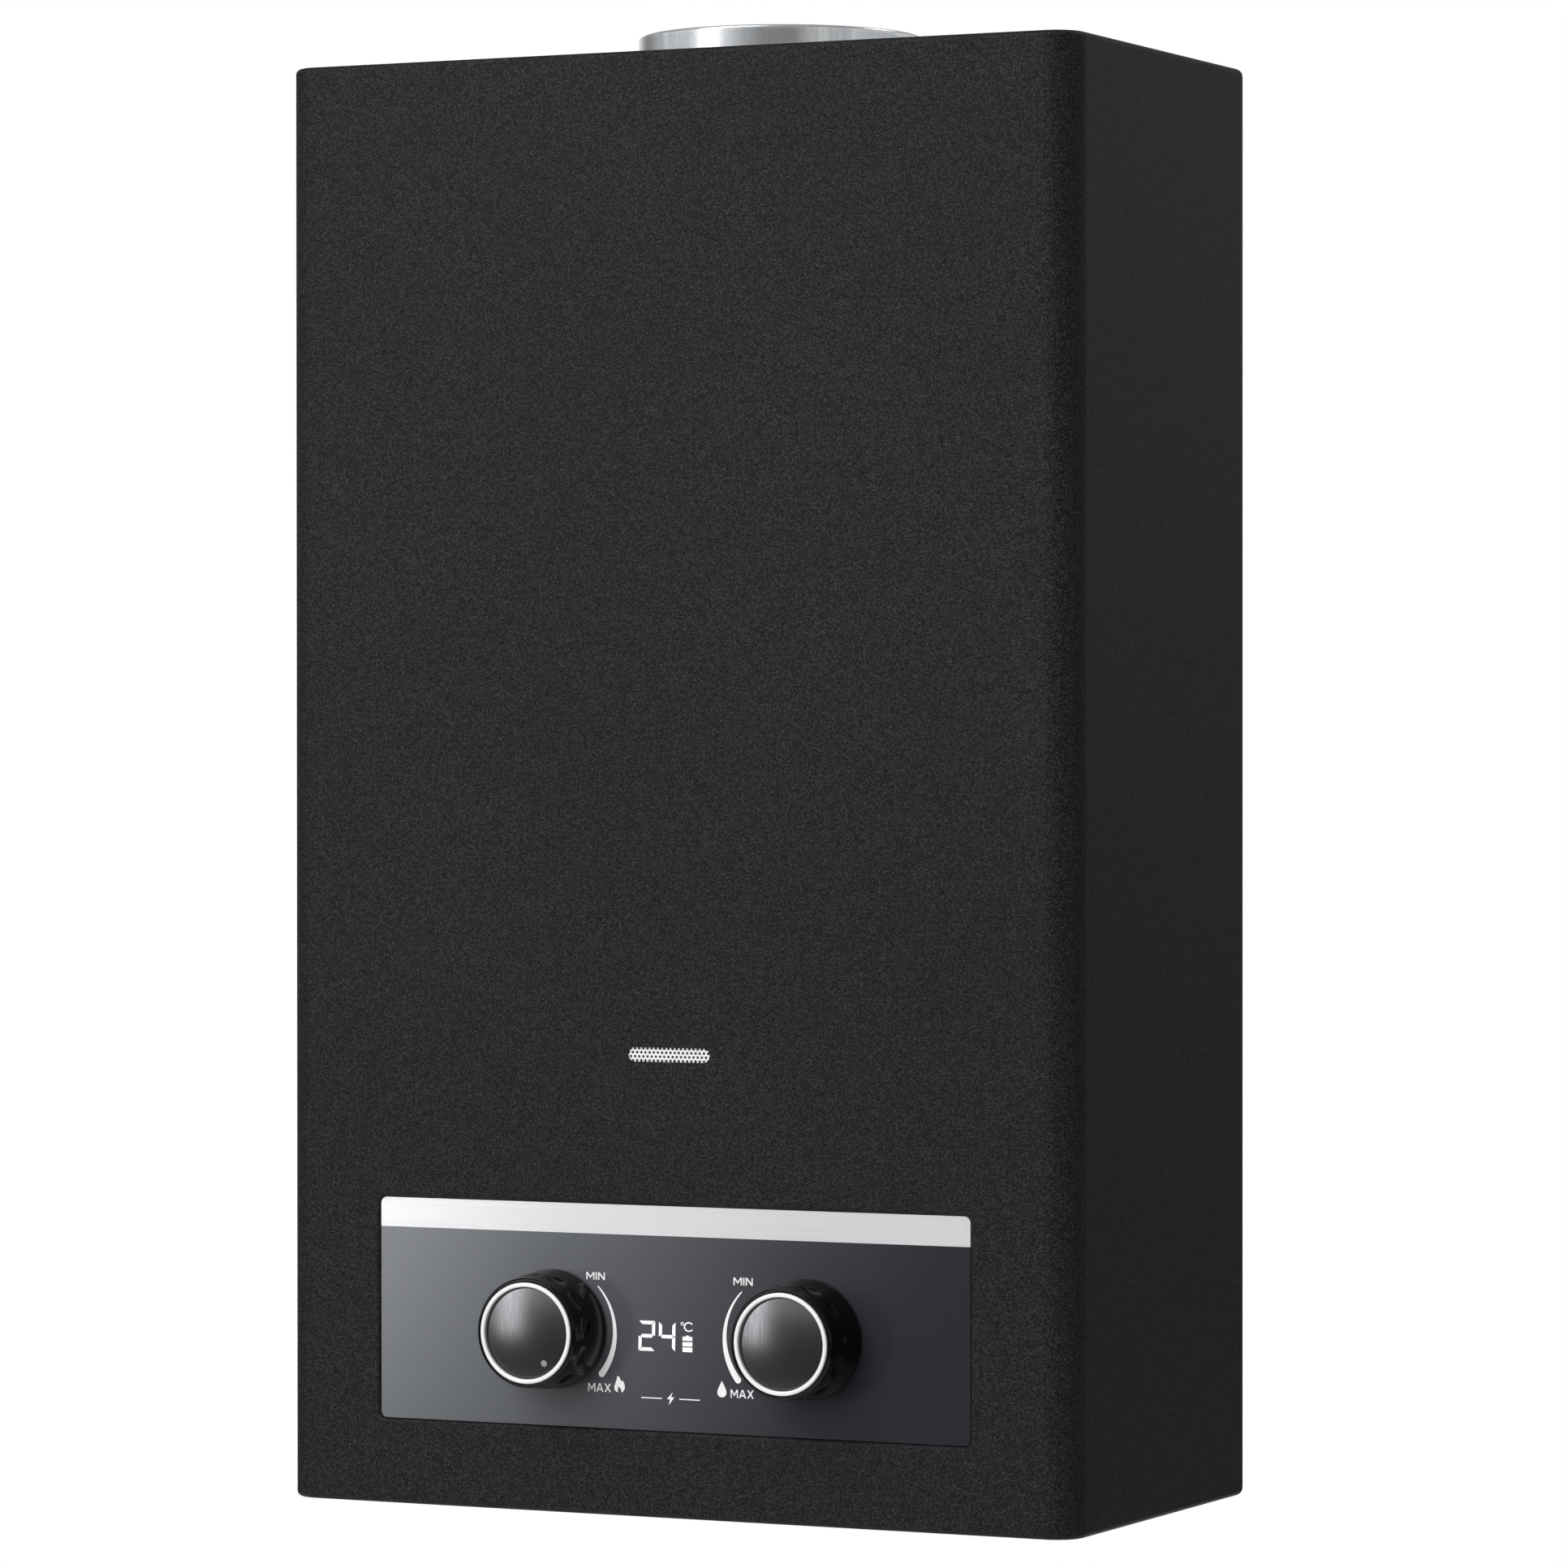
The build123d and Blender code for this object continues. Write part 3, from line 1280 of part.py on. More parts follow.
# Heat exchanger shell
with BuildPart() as exchanger_shell:
    with BuildSketch(Plane.XY.offset(burner_top)):
        with Locations((0, -exchanger_out)):
            RectangleRounded(exchanger_width, exchanger_depth, shell_corner)
    extrude(amount=shell_height)
    with BuildSketch(Plane.XY.offset(burner_top)):
        with Locations((0, -exchanger_out)):
            Rectangle(exchanger_width - 2 * shell_corner, exchanger_depth + 2 * burner_flange)
    extrude(amount=shell_sheet)
    with BuildSketch(Plane.XY.offset(burner_top - overrun)):
        with Locations((0, -exchanger_out)):
            RectangleRounded(
                exchanger_width - 2 * shell_sheet,
                exchanger_depth - 2 * shell_sheet,
                shell_corner - shell_sheet,
            )
    extrude(amount=shell_height + 2 * overrun, mode=Mode.SUBTRACT)
    # Holes for the tube runs, the flame window and the electrodes
    with BuildSketch(Plane.YZ.offset(-exchanger_width / 2 - overrun)):
        with Locations(*[(-out, fin_tube_z) for out in fin_tube_outs]):
            Circle(tube_radius + tube_fit)
    extrude(amount=exchanger_width + 2 * overrun, mode=Mode.SUBTRACT)
    with BuildSketch(Plane.XZ.offset(exchanger_front - shell_sheet - overrun)):
        with Locations((0, sight_z)):
            SlotOverall(sight_width, sight_height)
        with Locations((-electrode_x, electrode_z), (electrode_x, electrode_z)):
            Circle(ceramic_radius + ceramic_fit)
    extrude(amount=shell_sheet + 2 * overrun, mode=Mode.SUBTRACT)
    with Locations(*electrode_screw_planes, *flange_screw_planes):
        Hole(screw_hole_radius, screw_length)
save(exchanger_shell, "exchanger_shell")

# Fins, evenly spaced between the shell's rounded corners
fin_room = exchanger_width - 2 * (shell_corner + fin_end_gap)
fin_count = int(fin_room / fin_spacing + rounding_share) + 1
fin_xs = [(index - (fin_count - 1) / 2) * fin_spacing for index in range(fin_count)]
with BuildPart() as fin:
    with BuildSketch(Plane.YZ.offset(-fin_thickness / 2)):
        with Locations((-exchanger_out, fin_tube_z)):
            Rectangle(exchanger_depth - 2 * (shell_sheet + face_gap), fin_height)
        with Locations(*[(-out, fin_tube_z) for out in fin_tube_outs]):
            Circle(tube_radius + tube_fit, mode=Mode.SUBTRACT)
    extrude(amount=fin_thickness)
with BuildPart() as exchanger_fins:
    with Locations(*[(x, 0, 0) for x in fin_xs]):
        add(fin.part)
save(exchanger_fins, "exchanger_fins")

# Tube through the fins: straight runs joined by half-round return bends, in from the right, out to the left
with BuildPart() as exchanger_tube:
    with BuildLine() as tube_route:
        for index, out in enumerate(fin_tube_outs):
            side = 1 - 2 * (index % 2)
            Line((side * fin_tube_end, -out, fin_tube_z), (-side * fin_tube_end, -out, fin_tube_z))
            if index + 1 < fin_tube_count:
                ThreePointArc(
                    (-side * fin_tube_end, -out, fin_tube_z),
                    (-side * (fin_tube_end + fin_tube_spacing / 2), -out + fin_tube_spacing / 2, fin_tube_z),
                    (-side * fin_tube_end, -out + fin_tube_spacing, fin_tube_z),
                )
    with BuildSketch(Plane(origin=tube_route.line @ 0, z_dir=tube_route.line % 0)):
        Circle(tube_radius)
        Circle(tube_bore, mode=Mode.SUBTRACT)
    sweep(path=tube_route.line)
save(exchanger_tube, "exchanger_tube")

# Coil brazed round the shell: up from the water section, twice round, then up into the first tube run
coil_heights = [coil_bottom + level * coil_spacing for level in range(3)]
exchanger_coil = bent_tube(
    [
        (water_right, -valve_out, water_outlet_z),
        (coil_x, -valve_out, water_outlet_z),
        (coil_x, -valve_out, coil_heights[0]),
        (coil_x, -coil_back, coil_heights[0]),
        (-coil_x, -coil_back, coil_heights[0]),
        (-coil_x, -coil_front, coil_heights[0]),
        (coil_x, -coil_front, coil_heights[1]),
        (coil_x, -coil_back, coil_heights[1]),
        (-coil_x, -coil_back, coil_heights[1]),
        (-coil_x, -coil_front, coil_heights[1]),
        (coil_x, -coil_front, coil_heights[2]),
        (coil_riser_x, -fin_tube_front, coil_heights[2]),
        (coil_riser_x, -fin_tube_front, fin_tube_z),
        (fin_tube_end, -fin_tube_front, fin_tube_z),
    ],
    coil_bend,
    tube_radius,
    tube_bore,
)
save(exchanger_coil, "exchanger_coil")

# Flue hood: skirt over the shell, sloping sides, flat top, draught slots in front, two arms at the back
hood_back = exchanger_out - hood_depth / 2
with BuildPart() as flue_hood:
    with BuildSketch(Plane.XY.offset(shell_top - hood_skirt)):
        with Locations((0, -exchanger_out)):
            Rectangle(hood_width, hood_depth)
    extrude(amount=hood_skirt)
    with BuildSketch(Plane.XY.offset(shell_top)):
        with Locations((0, -exchanger_out)):
            Rectangle(hood_width, hood_depth)
    with BuildSketch(Plane.XY.offset(hood_top)):
        with Locations((0, -flue_out)):
            Rectangle(hood_top_width, hood_top_depth)
    loft()
    with BuildSketch(Plane.XY.offset(shell_top - hood_skirt - overrun)):
        with Locations((0, -exchanger_out)):
            Rectangle(exchanger_width + 2 * face_gap, exchanger_depth + 2 * face_gap)
    extrude(amount=hood_skirt + overrun, mode=Mode.SUBTRACT)
    with BuildSketch(Plane.XY.offset(shell_top)):
        with Locations((0, -exchanger_out)):
            Rectangle(exchanger_width - 2 * shell_sheet, exchanger_depth - 2 * shell_sheet)
    with BuildSketch(Plane.XY.offset(hood_top - hood_sheet)):
        with Locations((0, -flue_out)):
            Rectangle(hood_top_width - 2 * hood_sheet, hood_top_depth - 2 * hood_sheet)
    loft(mode=Mode.SUBTRACT)
    with BuildSketch(Plane.XY.offset(hood_top - hood_sheet - overrun)):
        with Locations((0, -flue_out)):
            Circle(collar_hem_bore)
    extrude(amount=hood_sheet + 2 * overrun, mode=Mode.SUBTRACT)
    with BuildSketch(Plane.XZ.offset(exchanger_out)):
        with Locations((0, shell_top + hood_slot_rise)):
            with GridLocations(hood_slot_spacing, hood_slot_height, hood_slot_count, 1):
                SlotOverall(hood_slot_width, hood_slot_height)
    extrude(amount=exchanger_depth, mode=Mode.SUBTRACT)
    with BuildSketch(Plane.XZ.offset(tray_sheet)):
        with Locations((-hood_arm_x, shell_top - hood_skirt / 2), (hood_arm_x, shell_top - hood_skirt / 2)):
            Rectangle(hood_arm_width, hood_skirt)
    extrude(amount=hood_arm_sheet)
    with BuildSketch(Plane.XZ.offset(tray_sheet)):
        with Locations((-hood_arm_x, shell_top - hood_skirt / 2), (hood_arm_x, shell_top - hood_skirt / 2)):
            Rectangle(hood_arm_sheet, hood_skirt)
    extrude(amount=hood_back - tray_sheet + hood_sheet / 2)
save(flue_hood, "flue_hood")

# Flue collar: flanged tube, folded inwards at its rim
with BuildPart() as flue_collar:
    with BuildSketch(Plane.XY.offset(hood_top)):
        with Locations((0, -flue_out)):
            Circle(collar_flange_radius)
    extrude(amount=collar_wall)
    with BuildSketch(Plane.XY.offset(hood_top)):
        with Locations((0, -flue_out)):
            Circle(collar_radius)
    extrude(amount=collar_top - hood_top)
    fillet(flue_collar.faces().sort_by(Axis.Z)[-1].edges(), collar_wall / 2)
    with BuildSketch(Plane.XY.offset(hood_top - overrun)):
        with Locations((0, -flue_out)):
            Circle(collar_bore)
    extrude(amount=collar_top - collar_hem - hood_top + overrun, mode=Mode.SUBTRACT)
    with BuildSketch(Plane.XY.offset(hood_top)):
        with Locations((0, -flue_out)):
            Circle(collar_hem_bore)
    extrude(amount=collar_top - hood_top + overrun, mode=Mode.SUBTRACT)
save(flue_collar, "flue_collar")

# Button sensors: draught sensor on the hood's skirt, overheat cut-out on the shell's left side
with BuildPart() as draft_sensor:
    with BuildSketch(Plane.XZ.offset(exchanger_out + hood_depth / 2)):
        with Locations((draft_sensor_x, shell_top - hood_skirt / 2)):
            RectangleRounded(button_tab_width, button_tab_height, button_tab_sheet)
    extrude(amount=button_tab_sheet)
    with BuildSketch(Plane.XZ.offset(exchanger_out + hood_depth / 2)):
        with Locations((draft_sensor_x, shell_top - hood_skirt / 2)):
            Circle(button_radius)
    extrude(amount=button_height)
save(draft_sensor, "draft_sensor")

with BuildPart() as overheat_thermostat:
    with BuildSketch(Plane.YZ.offset(-exchanger_width / 2)):
        with Locations((-exchanger_out, shell_top - thermostat_drop)):
            RectangleRounded(button_tab_width, button_tab_height, button_tab_sheet)
    extrude(amount=-button_tab_sheet)
    with BuildSketch(Plane.YZ.offset(-exchanger_width / 2)):
        with Locations((-exchanger_out, shell_top - thermostat_drop)):
            Circle(button_radius)
    extrude(amount=-button_height)
save(overheat_thermostat, "overheat_thermostat")

# Connections: a flange on the shelf, a plain-turned thread below it and a neck for the pipe above
for fitting_name, fitting_x in fitting_places.items():
    with BuildPart() as fitting:
        with BuildSketch(Plane.XY.offset(tray_bottom - thread_length)):
            with Locations((fitting_x, -fitting_out)):
                Circle(thread_radius)
        extrude(amount=thread_length - thread_relief)
        chamfer(fitting.faces().sort_by(Axis.Z)[0].edges(), thread_chamfer)
        with BuildSketch(Plane.XY.offset(tray_bottom - thread_relief)):
            with Locations((fitting_x, -fitting_out)):
                Circle(thread_radius - thread_relief)
        extrude(amount=thread_relief + tray_sheet)
        with BuildSketch(Plane.XY.offset(shelf_top)):
            with Locations((fitting_x, -fitting_out)):
                RectangleRounded(fitting_flange_width, fitting_flange_length, fitting_flange_round)
        extrude(amount=fitting_flange_thickness)
        with BuildSketch(Plane.XY.offset(fitting_flange_top)):
            with Locations((fitting_x, -fitting_out)):
                Circle(tube_radius)
        extrude(amount=fitting_neck)
        with BuildSketch(Plane.XY.offset(tray_bottom - thread_length - overrun)):
            with Locations((fitting_x, -fitting_out)):
                Circle(fitting_bore)
        extrude(amount=fitting_top - tray_bottom + thread_length + 2 * overrun, mode=Mode.SUBTRACT)
        with Locations(*fitting_screw_planes):
            Hole(screw_hole_radius, screw_length)
    save(fitting, fitting_name)

# Pipes
gas_pipe = bent_tube(
    [
        (gas_knob_x, -fitting_out, fitting_top),
        (gas_knob_x, -fitting_out, gas_inlet_z),
        (gas_knob_x, -valve_back, gas_inlet_z),
    ],
    pipe_bend,
    tube_radius,
    tube_bore,
)
save(gas_pipe, "gas_pipe")

cold_pipe = bent_tube(
    [
        (water_knob_x, -fitting_out, fitting_top),
        (water_knob_x, -fitting_out, water_inlet_z),
        (water_knob_x, -valve_back, water_inlet_z),
    ],
    pipe_bend,
    tube_radius,
    tube_bore,
)
save(cold_pipe, "cold_pipe")

hot_pipe = bent_tube(
    [
        (-fin_tube_end, -fitting_out, fin_tube_z),
        (hot_x, -fitting_out, fin_tube_z),
        (hot_x, -fitting_out, fitting_top),
    ],
    pipe_bend,
    tube_radius,
    tube_bore,
)
save(hot_pipe, "hot_pipe")

# Union nuts over the pipe joints
nut_planes = [
    Plane(origin=(gas_knob_x, -valve_back, gas_inlet_z), z_dir=(0, 1, 0)),
    Plane(origin=(water_knob_x, -valve_back, water_inlet_z), z_dir=(0, 1, 0)),
    Plane(origin=(water_right, -valve_out, water_outlet_z), z_dir=(1, 0, 0)),
]
nut_planes += [
    Plane(origin=(x, -fitting_out, fitting_top - nut_height / 2), z_dir=(0, 0, 1))
    for x in fitting_places.values()
]
with BuildPart() as nut:
    with BuildSketch():
        RegularPolygon(nut_across_flats / 2, 6, major_radius=False, rotation=30)
        Circle(tube_radius + nut_fit, mode=Mode.SUBTRACT)
    extrude(amount=nut_height)
with BuildPart() as union_nuts:
    with Locations(*nut_planes):
        add(nut.part)
save(union_nuts, "union_nuts")

# Outlet temperature sensor: a clip round the hot pipe with a probe in front
clip_z = cabinet_bottom + clip_height_above_floor
with BuildPart() as outlet_sensor:
    with BuildSketch(Plane.XY.offset(clip_z - clip_height / 2)):
        with Locations((hot_x, -fitting_out)):
            RectangleRounded(clip_width, clip_width, tube_wall)
            Circle(tube_radius + tube_fit, mode=Mode.SUBTRACT)
    extrude(amount=clip_height)
    with BuildSketch(Plane.XZ.offset(fitting_out + clip_width / 2)):
        with Locations((hot_x, clip_z)):
            Circle(probe_radius)
    extrude(amount=probe_length)
save(outlet_sensor, "outlet_sensor")

# Battery box: open below, with a tongue on the shelf's lip and two hinge ears
with BuildPart() as battery_box:
    with BuildSketch(Plane.XY.offset(door_top)):
        with Locations((battery_x, -valve_out)):
            RectangleRounded(battery_width, battery_depth, battery_round)
    extrude(amount=battery_top - door_top)
    with BuildSketch(Plane.XY.offset(shelf_lip_top)):
        with Locations((battery_x, -shelf_depth + battery_tongue_lap)):
            Rectangle(
                battery_tongue_width,
                valve_out - shelf_depth + battery_tongue_lap,
                align=(Align.CENTER, Align.MAX),
            )
    extrude(amount=battery_tongue_sheet)
    for side in (-1, 1):
        with BuildSketch(Plane.YZ.offset(battery_x + side * hinge_ear_x - hinge_ear_width / 2)):
            with Locations((-hinge_out, hinge_z)):
                Circle(hinge_knuckle_radius)
            with Locations((-hinge_out + hinge_knuckle_radius, door_top + face_gap)):
                Rectangle(
                    battery_back + battery_wall / 2 - hinge_out + hinge_knuckle_radius,
                    hinge_ear_height,
                    align=(Align.MAX, Align.MIN),
                )
        extrude(amount=hinge_ear_width)
    with BuildSketch(Plane.XY.offset(door_top - overrun)):
        with Locations((battery_x, -valve_out)):
            RectangleRounded(
                battery_width - 2 * battery_wall,
                battery_depth - 2 * battery_wall,
                battery_round - battery_wall,
            )
    extrude(amount=battery_top - battery_wall - door_top + overrun, mode=Mode.SUBTRACT)
    with BuildSketch(Plane.YZ.offset(battery_x - hinge_ear_x - hinge_ear_width)):
        with Locations((-hinge_out, hinge_z)):
            Circle(hinge_pin_radius + hinge_pin_fit)
    extrude(amount=2 * (hinge_ear_x + hinge_ear_width), mode=Mode.SUBTRACT)
save(battery_box, "battery_box")

# Battery door with its hinge knuckle behind and a finger tab in front
with BuildPart() as battery_door:
    with BuildSketch(Plane.XY.offset(door_bottom)):
        with Locations((battery_x, -valve_out)):
            RectangleRounded(battery_width, battery_depth, battery_round)
        with Locations((battery_x, -battery_front + battery_round)):
            Rectangle(door_tab_width, door_tab_reach + battery_round, align=(Align.CENTER, Align.MAX))
        with Locations((battery_x, -hinge_out)):
            Rectangle(
                hinge_knuckle_length,
                battery_back + battery_round - hinge_out,
                align=(Align.CENTER, Align.MAX),
            )
    extrude(amount=door_thickness)
    with BuildSketch(Plane.YZ.offset(battery_x - hinge_knuckle_length / 2)):
        with Locations((-hinge_out, hinge_z)):
            Circle(hinge_knuckle_radius)
    extrude(amount=hinge_knuckle_length)
    with BuildSketch(Plane.YZ.offset(battery_x - hinge_knuckle_length / 2 - overrun)):
        with Locations((-hinge_out, hinge_z)):
            Circle(hinge_pin_radius + hinge_pin_fit)
    extrude(amount=hinge_knuckle_length + 2 * overrun, mode=Mode.SUBTRACT)
save(battery_door, "battery_door")

with BuildPart() as battery_door_pin:
    with BuildSketch(Plane.YZ.offset(battery_x - hinge_ear_x - hinge_ear_width / 2)):
        with Locations((-hinge_out, hinge_z)):
            Circle(hinge_pin_radius)
    extrude(amount=2 * hinge_ear_x + hinge_ear_width)
save(battery_door_pin, "battery_door_pin")

cell_xs = [battery_x - battery_spacing / 2, battery_x + battery_spacing / 2]
with BuildPart() as battery_cells:
    with BuildSketch(Plane.XY.offset(cell_bottom)):
        with Locations(*[(x, -valve_out) for x in cell_xs]):
            Circle(cell_radius)
    extrude(amount=cell_length - cell_nub_height)
    with BuildSketch(Plane.XY.offset(cell_top - cell_nub_height)):
        with Locations(*[(x, -valve_out) for x in cell_xs]):
            Circle(cell_nub_radius)
    extrude(amount=cell_nub_height)
save(battery_cells, "battery_cells")

with BuildPart() as battery_contacts:
    with BuildSketch(Plane.XY.offset(contact_bottom)):
        with Locations(*[(x, -valve_out) for x in cell_xs]):
            Rectangle(contact_width, battery_depth - 2 * (battery_wall + face_gap))
    extrude(amount=contact_sheet)
save(battery_contacts, "battery_contacts")

# Ignition controller
with BuildPart() as ignition_controller:
    with BuildSketch(Plane.XY.offset(controller_bottom)):
        with Locations((controller_x, -tray_sheet)):
            Rectangle(controller_width, controller_depth, align=(Align.CENTER, Align.MAX))
    extrude(amount=controller_height)
    fillet(ignition_controller.faces().sort_by(Axis.Y)[0].edges(), controller_round)
    with BuildSketch(Plane.XY.offset(controller_bottom)):
        with Locations((controller_x, -controller_plug_out)):
            Rectangle(controller_plug_width, controller_plug_depth)
    extrude(amount=-controller_plug_height)
save(ignition_controller, "ignition_controller")

# Leads between the controller, the electrodes, the display and the battery box
lead_start_z = electrode_z + lead_step
plug_bottom = controller_bottom - controller_plug_height
lead_low_z = plug_bottom - lead_drop
lead_near_x = controller_x - controller_plug_width / 4
lead_far_x = controller_x + controller_plug_width / 4
board_lead_x = display_x + lead_shift
lead_routes = [
    [
        (controller_x, -controller_front, electrode_z),
        (controller_x, -lead_front, electrode_z),
        (electrode_x, -lead_front, electrode_z),
        (electrode_x, -ceramic_front, electrode_z),
    ],
    [
        (controller_x, -controller_front, lead_start_z),
        (controller_x, -lead_front, lead_start_z),
        (lead_side_step - electrode_x, -lead_front, lead_start_z),
        (-electrode_x, -lead_front, electrode_z),
        (-electrode_x, -ceramic_front, electrode_z),
    ],
    [
        (lead_far_x, -controller_plug_out, plug_bottom),
        (lead_far_x, -controller_plug_out, lead_low_z),
        (lead_far_x, -board_middle, lead_low_z),
        (board_lead_x, -board_middle, lead_low_z),
        (board_lead_x, -board_middle, display_z + board_height / 2),
    ],
    [
        (lead_near_x, -controller_plug_out, plug_bottom),
        (lead_near_x, -controller_plug_out, lead_low_z),
        (lead_near_x, -valve_out, battery_top + lead_rise),
        (lead_near_x, -valve_out, battery_top),
    ],
]
leads = [bent_tube(route, lead_bend, lead_radius) for route in lead_routes]
with BuildPart() as wire_leads:
    for lead in leads:
        add(lead.part)
save(wire_leads, "wire_leads")

# All machine screws, alike
with BuildPart() as screw:
    with BuildSketch():
        Circle(screw_head_radius)
    extrude(amount=screw_head_height)
    with BuildSketch():
        Circle(screw_radius)
    extrude(amount=-screw_length)
with BuildPart() as machine_screws:
    with Locations(*screw_planes):
        add(screw.part)
save(machine_screws, "machine_screws")
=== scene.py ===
import bmesh
import bpy
import numpy as np
from mathutils import Matrix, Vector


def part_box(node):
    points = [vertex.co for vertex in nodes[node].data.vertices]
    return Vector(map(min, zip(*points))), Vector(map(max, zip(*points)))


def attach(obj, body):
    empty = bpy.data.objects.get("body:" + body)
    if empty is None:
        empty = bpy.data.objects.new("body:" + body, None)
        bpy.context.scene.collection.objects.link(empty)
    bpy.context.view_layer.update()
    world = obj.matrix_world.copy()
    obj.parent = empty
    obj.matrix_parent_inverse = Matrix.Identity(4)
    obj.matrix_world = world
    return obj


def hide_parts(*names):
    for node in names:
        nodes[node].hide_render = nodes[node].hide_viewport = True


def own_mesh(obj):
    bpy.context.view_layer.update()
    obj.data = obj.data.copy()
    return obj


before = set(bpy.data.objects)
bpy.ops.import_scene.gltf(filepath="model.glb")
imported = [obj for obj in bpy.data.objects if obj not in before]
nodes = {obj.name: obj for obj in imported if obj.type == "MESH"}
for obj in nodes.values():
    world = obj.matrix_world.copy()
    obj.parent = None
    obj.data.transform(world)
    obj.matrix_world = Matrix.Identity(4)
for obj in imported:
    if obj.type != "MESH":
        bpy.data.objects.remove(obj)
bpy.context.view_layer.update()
bpy.context.scene.view_settings.view_transform = "Standard"

# Back plate: the folded tray that hangs on the wall and carries every other piece.
# Hot-dip galvanised sheet, so its face is a patchwork of zinc crystals, each as bright
# as the way it happens to lie.


def feed(tree, target, feeds):
    """Set or link every input of a node that feeds names."""
    for socket, value in feeds.items():
        if isinstance(value, bpy.types.NodeSocket):
            tree.links.new(value, target.inputs[socket])
        else:
            target.inputs[socket].default_value = value


def node(tree, kind, feeds=None, **options):
    """Add a node, set its options, then set or link its inputs."""
    made = tree.nodes.new(kind)
    for option, value in options.items():
        setattr(made, option, value)
    feed(tree, made, feeds or {})
    return made


def placed(tree):
    """Place on the piece, in the shared frame."""
    return node(tree, "ShaderNodeTexCoord").outputs["Object"]


def noise(tree, place, scale, detail):
    """Cloudy pattern, finer with scale and more ragged with detail."""
    feeds = {"Vector": place, "Scale": scale, "Detail": detail}
    return node(tree, "ShaderNodeTexNoise", feeds).outputs


def crystals(tree, place, scale):
    """Patchwork of cells: the distance from a cell's middle, and each cell's own chance values."""
    cell = node(tree, "ShaderNodeTexVoronoi", {"Vector": place, "Scale": scale}).outputs
    chance = node(tree, "ShaderNodeSeparateColor", {"Color": cell["Color"]}).outputs
    return cell["Distance"], chance


def vectors(tree, operation, *values):
    """One operation on vectors."""
    feeds = dict(enumerate(values))
    return node(tree, "ShaderNodeVectorMath", feeds, operation=operation).outputs


def ranged(tree, value, start=0.0, end=1.0, low=0.0, high=1.0):
    """Value carried in a straight line from start and end to low and high, and held there."""
    ends = {"From Min": start, "From Max": end, "To Min": low, "To Max": high}
    return node(tree, "ShaderNodeMapRange", {"Value": value, **ends}).outputs["Result"]


def between(tree, share, first, second):
    """Colour that goes from the first to the second as share goes from 0 to 1."""
    feeds = {0: share, 6: first, 7: second}
    return node(tree, "ShaderNodeMix", feeds, data_type="RGBA").outputs[2]


def bumped(tree, height, depth, strength=1.0):
    """Normal of a relief as deep as depth where height is 1."""
    feeds = {"Height": height, "Distance": depth, "Strength": strength}
    return node(tree, "ShaderNodeBump", feeds).outputs["Normal"]


def finish(name, colour, roughness, metallic=0.0, **sockets):
    """Material with one Principled shader; what is the same all over sits on its own sockets."""
    material = bpy.data.materials.new(name)
    material.use_nodes = True
    tree = material.node_tree
    shader = tree.nodes["Principled BSDF"]
    plain = {"Base Color": (*colour, 1.0), "Roughness": roughness, "Metallic": metallic}
    feed(tree, shader, {**plain, **sockets})
    return material, tree, shader


def effect(name, **inputs):
    """Shader node group with these inputs, which puts out a colour, a roughness and a normal."""
    group = bpy.data.node_groups.new(name, "ShaderNodeTree")
    for label, value in inputs.items():
        kind = "NodeSocketFloat"
        if isinstance(value, tuple):
            kind = "NodeSocketColor" if len(value) == 4 else "NodeSocketVector"
        socket = group.interface.new_socket(label, in_out="INPUT", socket_type=kind)
        socket.default_value = value
    for label, kind in (("Colour", "Color"), ("Roughness", "Float"), ("Normal", "Vector")):
        group.interface.new_socket(label, in_out="OUTPUT", socket_type="NodeSocket" + kind)
    given = group.nodes.new("NodeGroupInput").outputs
    return group, given, group.nodes.new("NodeGroupOutput")


def dress(material, *names):
    """Give CAD nodes this finish in all their material slots."""
    for name in names:
        for place in nodes[name].material_slots:
            place.material = material


crystal_warp, crystal_depth, crystal_strength = 0.006, 0.0002, 0.25
spangle, given, put = effect(
    "zinc_spangle", Crystals=160.0, Dull=(0.4, 0.41, 0.43, 1.0), Bright=(0.57, 0.58, 0.6, 1.0),
)
place = placed(spangle)
warp = noise(spangle, place, scale=90.0, detail=3.0)["Color"]
shift = vectors(spangle, "MULTIPLY_ADD", warp, (crystal_warp,) * 3, place)[0]
distance, chance = crystals(spangle, shift, given["Crystals"])
feed(spangle, put, {
    "Colour": between(spangle, chance["Red"], given["Dull"], given["Bright"]),
    "Roughness": ranged(spangle, chance["Green"], low=0.3, high=0.52),
    "Normal": bumped(spangle, distance, crystal_depth, crystal_strength),
})

galvanised, tree, shader = finish("galvanised_sheet", (0.6, 0.61, 0.63), 0.4, metallic=1.0)
zinc = node(tree, "ShaderNodeGroup", node_tree=spangle).outputs
feed(tree, shader, {
    "Base Color": zinc["Colour"], "Roughness": zinc["Roughness"], "Normal": zinc["Normal"],
})
dress(galvanised, "back_plate", "flue_hood")

# Heat exchanger: a drawn copper shell with a finned tube through its top and a feed coil
# brazed round it. The copper is bright in clouds, and the shell and the tube are scorched
# to a dark brown low down, where the flames reach them.


def maths(tree, operation, *values):
    """One operation on two or three values."""
    feeds = dict(enumerate(values))
    return node(tree, "ShaderNodeMath", feeds, operation=operation).outputs[0]


def upright(tree, place):
    """Height of a place in the shared frame."""
    return node(tree, "ShaderNodeSeparateXYZ", {0: place}).outputs["Z"]


